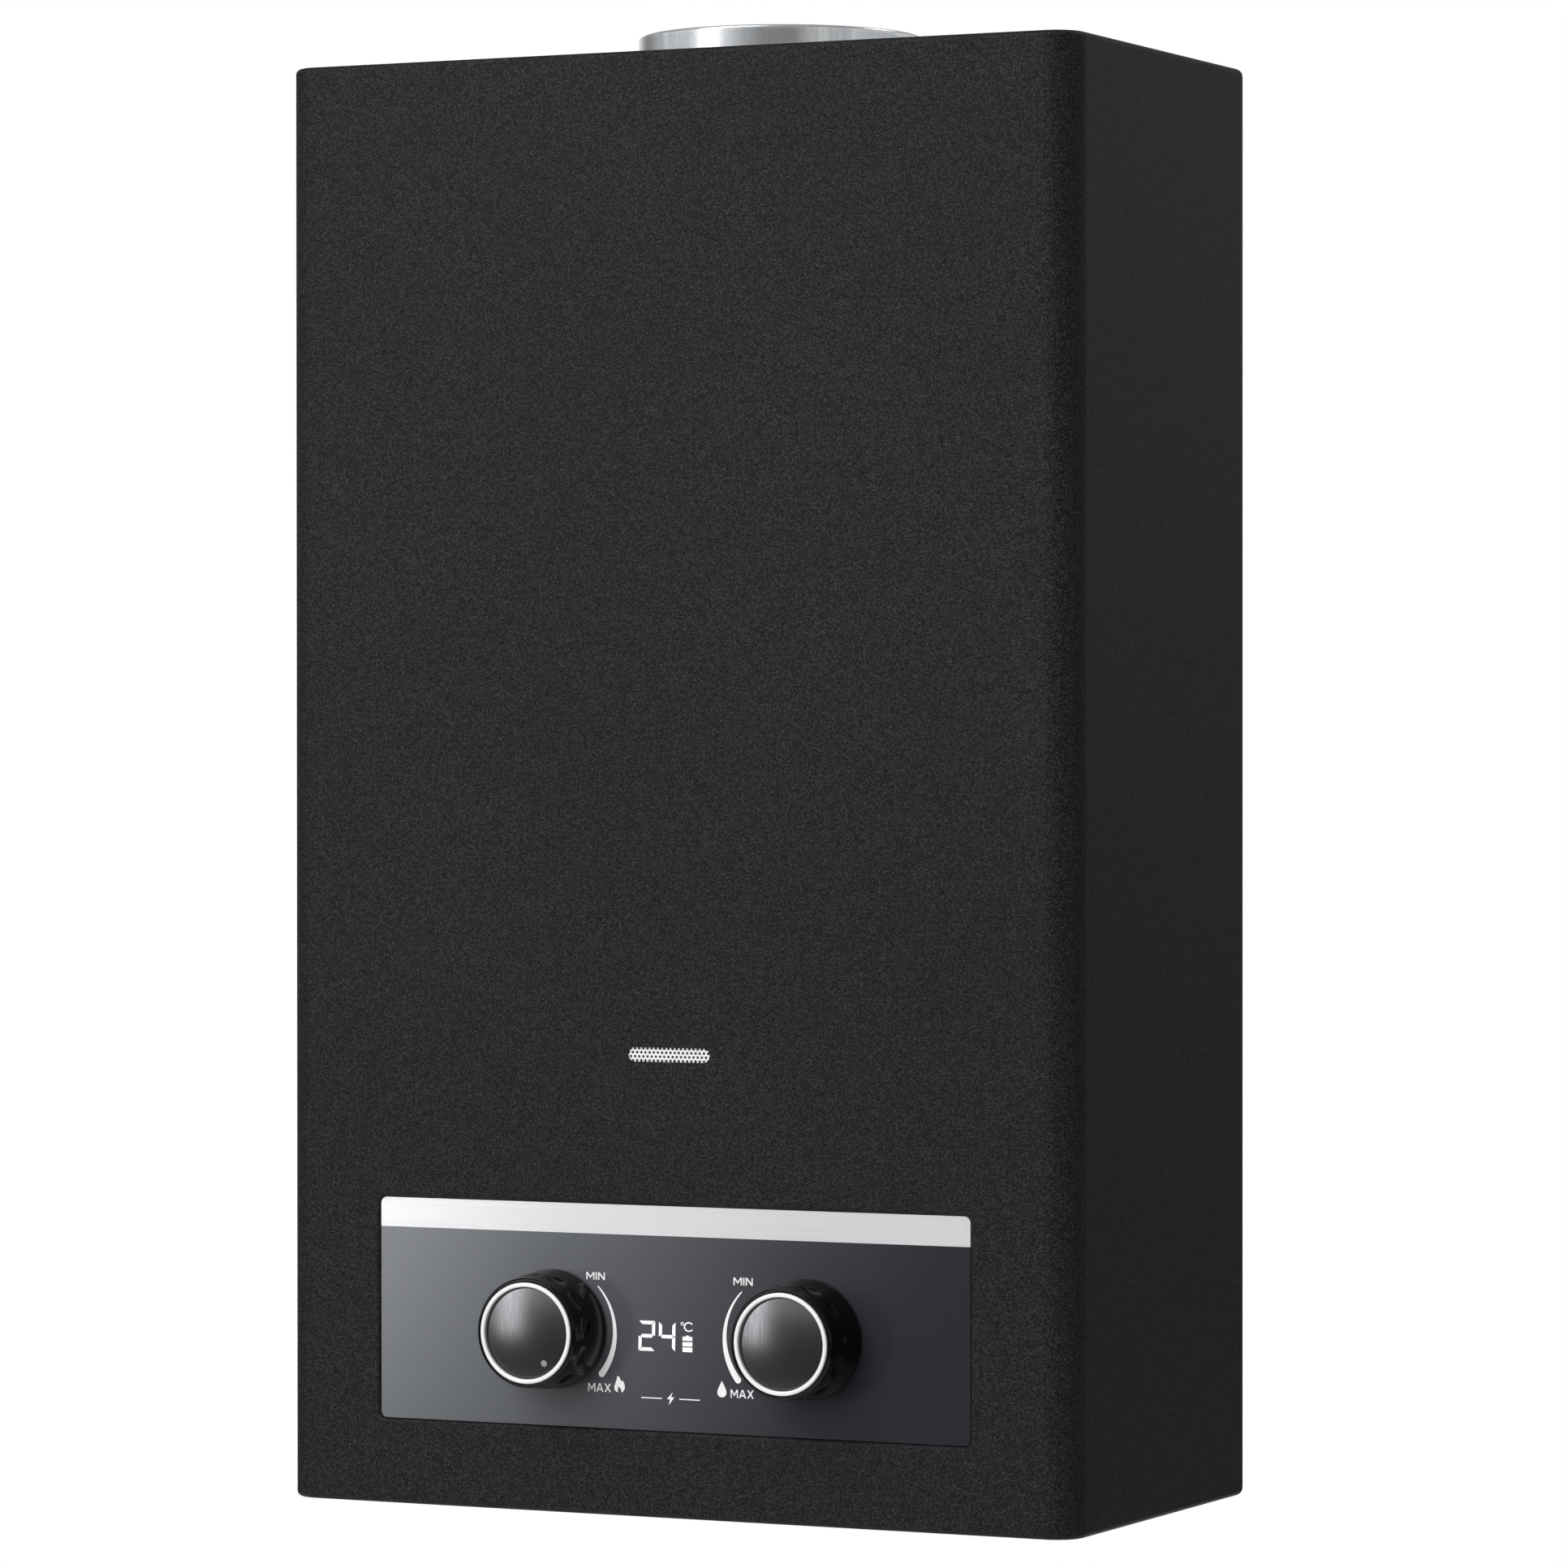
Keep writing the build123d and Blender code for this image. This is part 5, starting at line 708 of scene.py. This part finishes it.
# Digits: each bar is a strip with mitred ends, given once and turned over for the other sides.
bar, gap, lean = 0.0013, 0.00018, 0.02
digit_width, digit_height, digit_foot = 0.0069, 0.0113, 0.0625
middle, half_bar, inside = digit_height / 2, bar / 2, digit_width - bar
top_bar = np.array([
    [gap, digit_height], [bar + gap, digit_height - bar], [inside - gap, digit_height - bar],
    [digit_width - gap, digit_height],
])
side_bar = np.array([
    [digit_width, digit_height - gap], [inside, digit_height - bar - gap],
    [inside, middle + half_bar + gap], [digit_width - half_bar, middle + gap],
    [digit_width, middle + gap],
])
cross_bar = np.array([
    [half_bar + gap, middle], [bar + gap, middle + half_bar], [inside - gap, middle + half_bar],
    [digit_width - half_bar - gap, middle], [inside - gap, middle - half_bar],
    [bar + gap, middle - half_bar],
])


def upside(shape):
    """Turn a bar over about the digit's middle height."""
    return shape * (1, -1) + (0, digit_height)


def mirrored(shape):
    """Turn a bar over about the digit's middle width."""
    return shape * (-1, 1) + (digit_width, 0)


bars = {
    "top": top_bar, "upper_right": side_bar, "lower_right": upside(side_bar),
    "foot": upside(top_bar), "lower_left": mirrored(upside(side_bar)),
    "upper_left": mirrored(side_bar), "cross": cross_bar,
}
for left, lit in (
    (-0.0131, ("top", "upper_right", "cross", "lower_left", "foot")),
    (-0.0046, ("upper_left", "cross", "upper_right", "lower_right")),
):
    for name in lit:
        shape = bars[name] + np.array([left, digit_foot])
        shape[:, 0] += (shape[:, 1] - digit_foot) * lean
        lay(shape)


def bow(place, half_width, half_height, inner_share, start, end, count):
    """Lay a strip of an ellipse about a place, from one angle to another, from a share of its
    size out to the whole."""
    angle, share = np.meshgrid(
        np.radians(np.linspace(start, end, count)), np.array([inner_share, 1.0]), indexing="ij",
    )
    x = place[0] + half_width * share * np.cos(angle)
    flat = np.stack([x, place[1] + half_height * share * np.sin(angle)], -1)
    lay(flat.reshape(-1, 2), grid_faces(count, 2))


# Degree sign: an open bow for its letter and a small closed ring before it.
degree_outer, degree_inner = 0.00066, 0.00042
bow((0.0081, 0.0721), 0.00208, 0.00182, inner_share=0.75, start=36, end=324, count=41)
bow(
    (0.00536, 0.07324), degree_outer, degree_outer, inner_share=degree_inner / degree_outer,
    start=0, end=360, count=25,
)

# Cell gauge: two plain bars and one with the cell's cap on it.
left, right, cap_left, cap_right, cap_top = 0.00545, 0.00955, 0.0069, 0.0082, 0.06885
for low, high in ((0.0627, 0.0644), (0.0648, 0.0664)):
    lay([[left, low], [right, low], [right, high], [left, high]])
low, high = 0.0669, 0.0684
lay([
    [left, low], [right, low], [right, high], [cap_right, high], [cap_right, cap_top],
    [cap_left, cap_top], [cap_left, high], [left, high],
])
printed("display_digits", lit_white)

# Knobs: two alike mouldings in glossy black, pushed on their spindles, with twelve oval finger
# dimples round the side and a seat in front for the ring and the insert.
knob_black = mottled(
    "knob_gloss", (0.0035, 0.0035, 0.0038), (0.005, 0.005, 0.0054), smooth=0.17, rough=0.21,
    scale=40.0, **{"Specular IOR Level": 0.2},
)
knob_places = {"gas": (-0.049, "gas_knob"), "water": (0.057, "water_knob")}
knob_back, knob_z, knob_rise = 0.165, -0.2056, 0.0216
side_foot, side_taper, side_start, side_end = 0.02265, 0.00205, 0.0007, 0.0204
edge_round, edge_middle = 0.0012, 0.01951
seat_radius, seat_rise, seat_edge = 0.0191, 0.0192, 0.0001
hub_bore, hub_radius, hub_start = 0.00405, 0.0075, 0.0002
hollow_radius, hollow_rise, pin_hole = 0.0183, 0.013, 0.00005
foot_edge = [[hollow_radius, 0.0003], [0.0186, 0.0], [0.0221, 0.0], [0.0225, 0.0002]]
side_rise = np.linspace(side_start, side_end, 64)
bend = np.radians(np.linspace(0, 90, 7))[1:]
knob_profile = np.concatenate([
    [[pin_hole, hollow_rise], [hub_bore, hollow_rise], [hub_bore, hub_start]],
    [[hub_radius, hub_start], [hub_radius, hollow_rise], [hollow_radius, hollow_rise]],
    foot_edge,
    np.column_stack([side_foot - side_taper * side_rise / knob_rise, side_rise]),
    np.column_stack([
        edge_middle + edge_round * np.cos(bend), side_end + edge_round * np.sin(bend),
    ]),
    [[seat_radius + seat_edge, knob_rise], [seat_radius, knob_rise - seat_edge]],
    [[seat_radius, seat_rise], [pin_hole, seat_rise]],
])


def turned(profile, turn, dent=0.0):
    """Rings of a lathe shape on the front-facing axis: radius less dent, and rise along it."""
    radius = profile[:, :1] - dent
    rise = np.repeat(profile[:, 1:], len(turn), 1)
    return np.stack([radius * np.cos(turn), -knob_back - rise, radius * np.sin(turn) + knob_z], -1)


def at(points, x):
    """Shift points sideways to a knob's place."""
    return points + np.array([x, 0.0, 0.0])


def both_knobs(ending, shape, material, slot, replaced):
    """Put one shape in the place of the same node on both knobs."""
    points, faces = shape
    for maker, (x, body) in knob_places.items():
        piece(maker + ending, at(points, x), faces, material, body, slot, maker + replaced)


# A dimple's depth falls off as one less the square of the distance from its middle, measured in
# its own half length round the knob and half width along it.
dimple_count, dimple_angle, dimple_ring, dimple_rise = 12, np.radians(6.0), 0.0217, 0.0136
dimple_long, dimple_wide, dimple_depth = 0.0043, 0.0037, 0.0011
side_least_radius, side_least_rise = 0.0205, 0.0005
knob_turn = round_about(240)
spacing = 2 * np.pi / dimple_count
arc = ((knob_turn - dimple_angle + spacing / 2) % spacing - spacing / 2) * dimple_ring
radius, rise = knob_profile[:, :1], knob_profile[:, 1:]
reach = (arc[None, :] / dimple_long) ** 2 + ((rise - dimple_rise) / dimple_wide) ** 2
outside = (radius > side_least_radius) & (rise > side_least_rise)
dent = dimple_depth * np.clip(1 - reach, 0, 1) * outside
knob_shape = skin(turned(knob_profile, knob_turn, dent), start_cap=True, end_cap=True)
both_knobs("_knob_moulding", knob_shape, knob_black, "knob_black", "_knob")

# Knob rings: bands with rolled edges, plated in satin silver and pressed into the seat in the
# knob's front.
ring_silver = mottled(
    "ring_silver", (0.9, 0.905, 0.915), (0.95, 0.955, 0.965), smooth=0.3, rough=0.38, scale=350.0,
    relief=0.00001, metallic=0.1,
)
ring_inner, ring_outer, ring_roll = 0.0173, 0.019, 0.0006
bend = np.radians(np.linspace(0, 90, 6))
over, forward = ring_roll * np.cos(bend), ring_roll * np.sin(bend)
ring_profile = np.concatenate([
    [[ring_inner, seat_rise], [ring_outer, seat_rise]],
    np.column_stack([ring_outer - ring_roll + over, knob_rise + forward]),
    np.column_stack([ring_inner + ring_roll - forward, knob_rise + over]),
])
ring_shape = skin(turned(ring_profile, round_about(144)), closed=True)
both_knobs("_ring_silver", ring_shape, ring_silver, "bright_ring", "_knob_ring")

# Knob inserts: dark aluminium discs brushed upright and slightly domed, set inside the ring.
# The gas knob's has one pale printed dot.
brushed = mottled(
    "brushed_insert", (0.13, 0.13, 0.137), (0.165, 0.165, 0.172), smooth=0.18, rough=0.23,
    scale=2200.0, relief=0.000001, stretch=(1, 1, 0.02), metallic=0.9,
)
dome_radius, dome_edge, dome_rise, dome_bevel, dome_inset = 0.0172, 0.0203, 0.0012, 0.0002, 0.0001
spread = np.linspace(1, 0.003, 30)
dome_reach = dome_radius * spread
dome_reach[0] -= dome_inset
insert_profile = np.concatenate([
    [[pin_hole, seat_rise], [dome_radius, seat_rise], [dome_radius, dome_edge - dome_bevel]],
    np.column_stack([dome_reach, dome_edge + dome_rise * (1 - spread**2)]),
])
insert_shape = skin(turned(insert_profile, round_about(120)), start_cap=True, end_cap=True)
both_knobs("_insert_brushed", insert_shape, brushed, "brushed_insert", "_knob_insert")

# Dot: rings that shrink to its middle on the dome, all but the outermost lifted by the ink film.
dot_ink = mottled(
    "dot_ink", (0.26, 0.26, 0.28), (0.32, 0.32, 0.345), smooth=0.4, rough=0.5, scale=500.0,
)
dot_reach, dot_angle, dot_radius = 0.01335, np.radians(-56.6), 0.00125
dot_shares = np.array([1.0, 0.95, 0.5, 0.01])
dot_turn, dot_share = np.meshgrid(round_about(32), dot_shares)
dot_x = dot_reach * np.cos(dot_angle) + dot_radius * dot_share * np.cos(dot_turn)
dot_z = dot_reach * np.sin(dot_angle) + dot_radius * dot_share * np.sin(dot_turn)
dot_rise = dome_edge + dome_rise * (1 - (dot_x**2 + dot_z**2) / dome_radius**2)
dot_rise += ink_height * (dot_share < 1)
dot_rings = np.stack([dot_x, -knob_back - dot_rise, dot_z + knob_z], -1)
dot_points, dot_faces = skin(dot_rings, start_cap=True, end_cap=True)
dot_points = at(dot_points, knob_places["gas"][0])
piece("gas_knob_dot", dot_points, dot_faces, dot_ink, "gas_knob", "silver_trim")

# Screws: zinc-plated pan heads with a cross recess; one size holds the cover, fittings, castings,
# burner and electrodes. Each row is a head's seat in millimetres and the way that it faces.
screw_zinc = mottled(
    "screw_zinc", (0.4, 0.41, 0.43), (0.62, 0.63, 0.65), smooth=0.24, rough=0.4, scale=500.0,
    relief=0.00002, metallic=1.0,
)
screw_heads = np.array([
    [-150, -9, -275, 0, 0, -1], [-150, -9, 275, 0, 0, 1], [150, -9, -275, 0, 0, -1],
    [150, -9, 275, 0, 0, 1], [-49, -57, -268.5, 0, 0, 1], [-49, -24, -268.5, 0, 0, 1],
    [57, -57, -268.5, 0, 0, 1], [57, -24, -268.5, 0, 0, 1], [-132, -57, -268.5, 0, 0, 1],
    [-132, -24, -268.5, 0, 0, 1], [17.5, -91.8, -199.6, -1, 0, 0],
    [17.5, -104.9, -176.91, -1, 0, 0], [17.5, -131.1, -176.91, -1, 0, 0],
    [17.5, -144.2, -199.6, -1, 0, 0], [17.5, -131.1, -222.29, -1, 0, 0],
    [17.5, -104.9, -222.29, -1, 0, 0], [-84, -132, -213.6, -1, 0, 0],
    [-84, -132, -185.6, -1, 0, 0], [-84, -104, -213.6, -1, 0, 0], [-84, -104, -185.6, -1, 0, 0],
    [-43, -128, -81, 0, -1, 0], [43, -128, -81, 0, -1, 0], [-85, -130.5, -108, 0, 0, 1],
    [-85, -18.5, -108, 0, 0, 1], [85, -130.5, -108, 0, 0, 1], [85, -18.5, -108, 0, 0, 1],
])
stem_radius, stem_end, head_radius, head_edge, head_side = 0.00195, -0.008, 0.0035, 0.0002, 0.001
stem = [[0.0002, stem_end], [0.0016, stem_end], [stem_radius, -0.0075], [stem_radius, 0.0]]
head = [[0.0034, 0.0], [head_radius, head_edge], [head_radius, head_side]]
crown_radius, crown_foot, crown_rise, crown_power = 0.00345, 0.0012, 0.0012, 2.4
slot_half, slot_slope, slot_reach, slot_end, slot_depth = 0.00052, 0.00012, 0.0021, 0.0003, 0.0011
screw_turn = round_about(64)
crown = np.linspace(1, 0.02, 16)
crown_height = crown_foot + crown_rise * (1 - crown**crown_power)
screw_profile = np.concatenate([stem, head, np.column_stack([crown_radius * crown, crown_height])])
radius, rise = screw_profile[:, :1], screw_profile[:, 1:]
screw_x, screw_y = radius * np.cos(screw_turn), radius * np.sin(screw_turn)
# The recess sinks where a point lies near either cross line and within the cross's reach.
near_line = np.clip((slot_half - np.minimum(abs(screw_x), abs(screw_y))) / slot_slope, 0, 1)
recess = near_line * np.clip((slot_reach - radius) / slot_end, 0, 1) * (rise > head_side)
screw_rings = np.stack([screw_x, screw_y, rise - slot_depth * recess], -1)
screw_points, screw_faces = skin(screw_rings, start_cap=True, end_cap=True)
out = screw_heads[:, 3:]
sideways = np.where(abs(out[:, :1]) > 0.5, [[0.0, 1.0, 0.0]], [[1.0, 0.0, 0.0]])
axes = np.stack([sideways, np.cross(out, sideways), out], 1)
all_points = screw_points @ axes + millimetre * screw_heads[:, None, :3]
all_faces = [
    [spot + count * len(screw_points) for spot in face]
    for count in range(len(screw_heads)) for face in screw_faces
]
piece(
    "pan_screws", all_points.reshape(-1, 3), all_faces, screw_zinc, "cabinet", "plain_steel",
    "machine_screws",
)

# Flue collar: spun aluminised sheet on the hood, with a foot flange, a plain pipe spigot and a
# rolled hem at the mouth.
collar_metal = mottled(
    "aluminised_sheet", (0.66, 0.685, 0.71), (0.8, 0.82, 0.84), smooth=0.22, rough=0.34,
    scale=160.0, relief=0.00001, stretch=(1, 1, 0.08), metallic=0.9,
)
collar_y, collar_foot, collar_mouth, collar_radius = -0.0674, 0.245, 0.2878, 0.055
hem_radius, hem_start, hem_depth, hem_lip = 0.001, 0.0018, 0.005, 0.0002
collar_root = np.array([
    [0.054, 0.0], [0.0585, 0.0], [0.0585, 0.001], [0.0558, 0.001], [0.0551, 0.0013],
    [collar_radius, 0.002], [collar_radius, 0.003],
])
curl = np.radians(np.linspace(0, 180, 9))
hem_middle, hem_tail = collar_radius - hem_radius, collar_mouth - hem_depth
collar_profile = np.concatenate([
    collar_root + (0.0, collar_foot),
    [[collar_radius, collar_mouth - hem_start]],
    np.column_stack([
        hem_middle + hem_radius * np.cos(curl),
        collar_mouth - hem_radius + hem_radius * np.sin(curl),
    ]),
    [[hem_middle - hem_radius, hem_tail], [hem_middle, hem_tail - hem_lip]],
])
collar_turn = round_about(192)
radius, rise = collar_profile[:, :1], np.repeat(collar_profile[:, 1:], len(collar_turn), 1)
collar_rings = np.stack([
    radius * np.cos(collar_turn), collar_y + radius * np.sin(collar_turn), rise,
], -1)
piece(
    "flue_spigot", *skin(collar_rings, closed=True), collar_metal, "cabinet", "galvanised_sheet",
    "flue_collar",
)

# Studio: a pale floor well below the heater, white towards its edge and clear from underneath,
# and soft lamps: strips left and right that only show as reflections, one behind for the side, a
# broad one above and a flat fill from the front.
white = (1.0, 1.0, 1.0, 1.0)
floor_pale = mottled(
    "floor_pale", (0.8, 0.8, 0.8), (0.84, 0.84, 0.84), smooth=0.6, rough=0.75, scale=3.0,
)
tree = floor_pale.node_tree
shader = tree.nodes["Principled BSDF"]
path = node(tree, "ShaderNodeLightPath").outputs
seen = maths(tree, "MAXIMUM", path["Is Camera Ray"], path["Is Glossy Ray"])
seen = maths(tree, "MAXIMUM", seen, path["Is Transmission Ray"])
level = vectors(tree, "MULTIPLY", placed(tree), (1.0, 1.0, 0.0))[0]
reach = vectors(tree, "LENGTH", level)["Value"]
whiter = ranged(tree, reach, start=0.5, end=2.8, low=0.3, high=1.0)
feed(tree, shader, {
    "Emission Color": white, "Emission Strength": maths(tree, "MULTIPLY", seen, whiter),
})
facing = node(tree, "ShaderNodeNewGeometry")
clear = node(tree, "ShaderNodeBsdfTransparent")
one_way = node(
    tree, "ShaderNodeMixShader",
    {0: facing.outputs["Backfacing"], 1: shader.outputs["BSDF"], 2: clear.outputs["BSDF"]},
)
feed(tree, tree.nodes["Material Output"], {"Surface": one_way.outputs["Shader"]})
floor_half, floor_z = 3.0, -1.6
corners = np.array([[-1, -1, 0], [1, -1, 0], [1, 1, 0], [-1, 1, 0]]) * floor_half
floor_mesh = bpy.data.meshes.new("floor")
floor_mesh.from_pydata(corners + (0.0, 0.0, floor_z), [], [[0, 1, 2, 3]])
floor_mesh.materials.append(floor_pale)
floor = bpy.data.objects.new("floor", floor_mesh)
bpy.context.scene.collection.objects.link(floor)


def softbox(name, watts, place, aim, width, height, glint=True, wash=True):
    """Rectangular lamp at place, turned to face aim, with its height upright. Without glint it
    gives no reflections, without wash it gives nothing else."""
    lamp = bpy.data.lights.new(name, "AREA")
    lamp.shape, lamp.size, lamp.size_y, lamp.energy = "RECTANGLE", width, height, watts
    box = bpy.data.objects.new(name, lamp)
    back = np.array(place, float) - np.array(aim, float)
    back /= np.linalg.norm(back)
    right = np.cross((0.0, 0.0, 1.0), back)
    right /= np.linalg.norm(right)
    turn = np.eye(4)
    turn[:3, :3] = np.column_stack([right, np.cross(back, right), back])
    turn[:3, 3] = place
    box.matrix_world = Matrix(turn.tolist())
    box.visible_camera, box.visible_glossy, box.visible_diffuse = False, glint, wash
    bpy.context.scene.collection.objects.link(box)


softbox(
    "strip_left", watts=9.5, place=(-1.3, -1.98, 0.45), aim=(0.0, -0.16, 0.0), width=0.4,
    height=1.8, wash=False,
)
softbox(
    "strip_right", watts=0.7, place=(2.0, -0.45, -0.1), aim=(0.0, -0.17, -0.2), width=0.14,
    height=0.9, wash=False,
)
softbox(
    "side_behind", watts=6.0, place=(1.2, 0.9, 1.5), aim=(0.165, -0.08, 0.2), width=0.6,
    height=0.6,
)
softbox(
    "broad_above", watts=25.0, place=(-0.7, -1.9, 2.1), aim=(0.0, -0.1, 0.0), width=1.8,
    height=1.4,
)
softbox(
    "front_fill", watts=56.0, place=(-0.45, -2.8, 0.8), aim=(0.0, -0.16, 0.0), width=1.8,
    height=1.8, glint=False,
)

# Surroundings: white to the camera and through glass. Reflections show white paper behind the
# heater, two cards in a low belt to the left and right, and a dusk that lightens upwards.
diffuse_level = 0.18
paper_way, paper_start, paper_end = (-0.4347, 0.9005, 0.0), 0.8, 0.93
card_rows = (((-0.777, -0.629, 0.0), 0.55, 0.8, 0.85), ((0.917, 0.399, 0.0), 0.2, 0.45, 0.85))
world = bpy.data.worlds.new("studio")
bpy.context.scene.world = world
world.use_nodes = True
tree = world.node_tree
path = node(tree, "ShaderNodeLightPath").outputs
way = node(tree, "ShaderNodeTexCoord").outputs["Generated"]
height = upright(tree, way)
above = ranged(tree, height, start=0.03, end=0.1)
below = ranged(tree, height, start=0.22, end=0.35, low=1.0, high=0.0)
belt = maths(tree, "MULTIPLY", above, below)
glossy = ranged(tree, along(tree, way, paper_way), paper_start, paper_end)
for card_way, start, end, level in card_rows:
    card = ranged(tree, along(tree, way, card_way), start, end, high=level)
    glossy = maths(tree, "MAXIMUM", glossy, maths(tree, "MULTIPLY", card, belt))
dusk = ranged(tree, height, start=-0.12, end=0.35, low=0.04, high=0.32)
glossy = maths(tree, "MAXIMUM", glossy, dusk)
glossy = maths(tree, "MULTIPLY", path["Is Glossy Ray"], glossy)
seen = maths(tree, "MAXIMUM", path["Is Camera Ray"], path["Is Transmission Ray"])
seen = maths(tree, "MAXIMUM", seen, glossy)
diffuse = maths(tree, "MULTIPLY", path["Is Diffuse Ray"], diffuse_level)
strength = maths(tree, "MAXIMUM", seen, diffuse)
feed(tree, tree.nodes["Background"], {"Color": white, "Strength": strength})

# Camera: level, a little to the right of the front, far off with a long lens as the photograph
# was taken.
azimuth, pitch, roll = np.radians([25.769, 0.409, -0.028])
target, camera_distance = np.array([0.008355, -0.0825, -0.000402]), 2.529584
back = np.array([
    np.sin(azimuth) * np.cos(pitch), -np.cos(azimuth) * np.cos(pitch), np.sin(pitch),
])
right = np.array([np.cos(azimuth), np.sin(azimuth), 0.0])
up = np.cross(back, right)
view = np.eye(4)
view[:3, :3] = np.column_stack([
    np.cos(roll) * right + np.sin(roll) * up, np.cos(roll) * up - np.sin(roll) * right, back,
])
view[:3, 3] = target + back * camera_distance
lens = bpy.data.cameras.new("camera")
lens.lens, lens.sensor_width = 150.92, 36.0
camera = bpy.data.objects.new("camera", lens)
camera.matrix_world = Matrix(view.tolist())
bpy.context.scene.collection.objects.link(camera)
bpy.context.scene.camera = camera
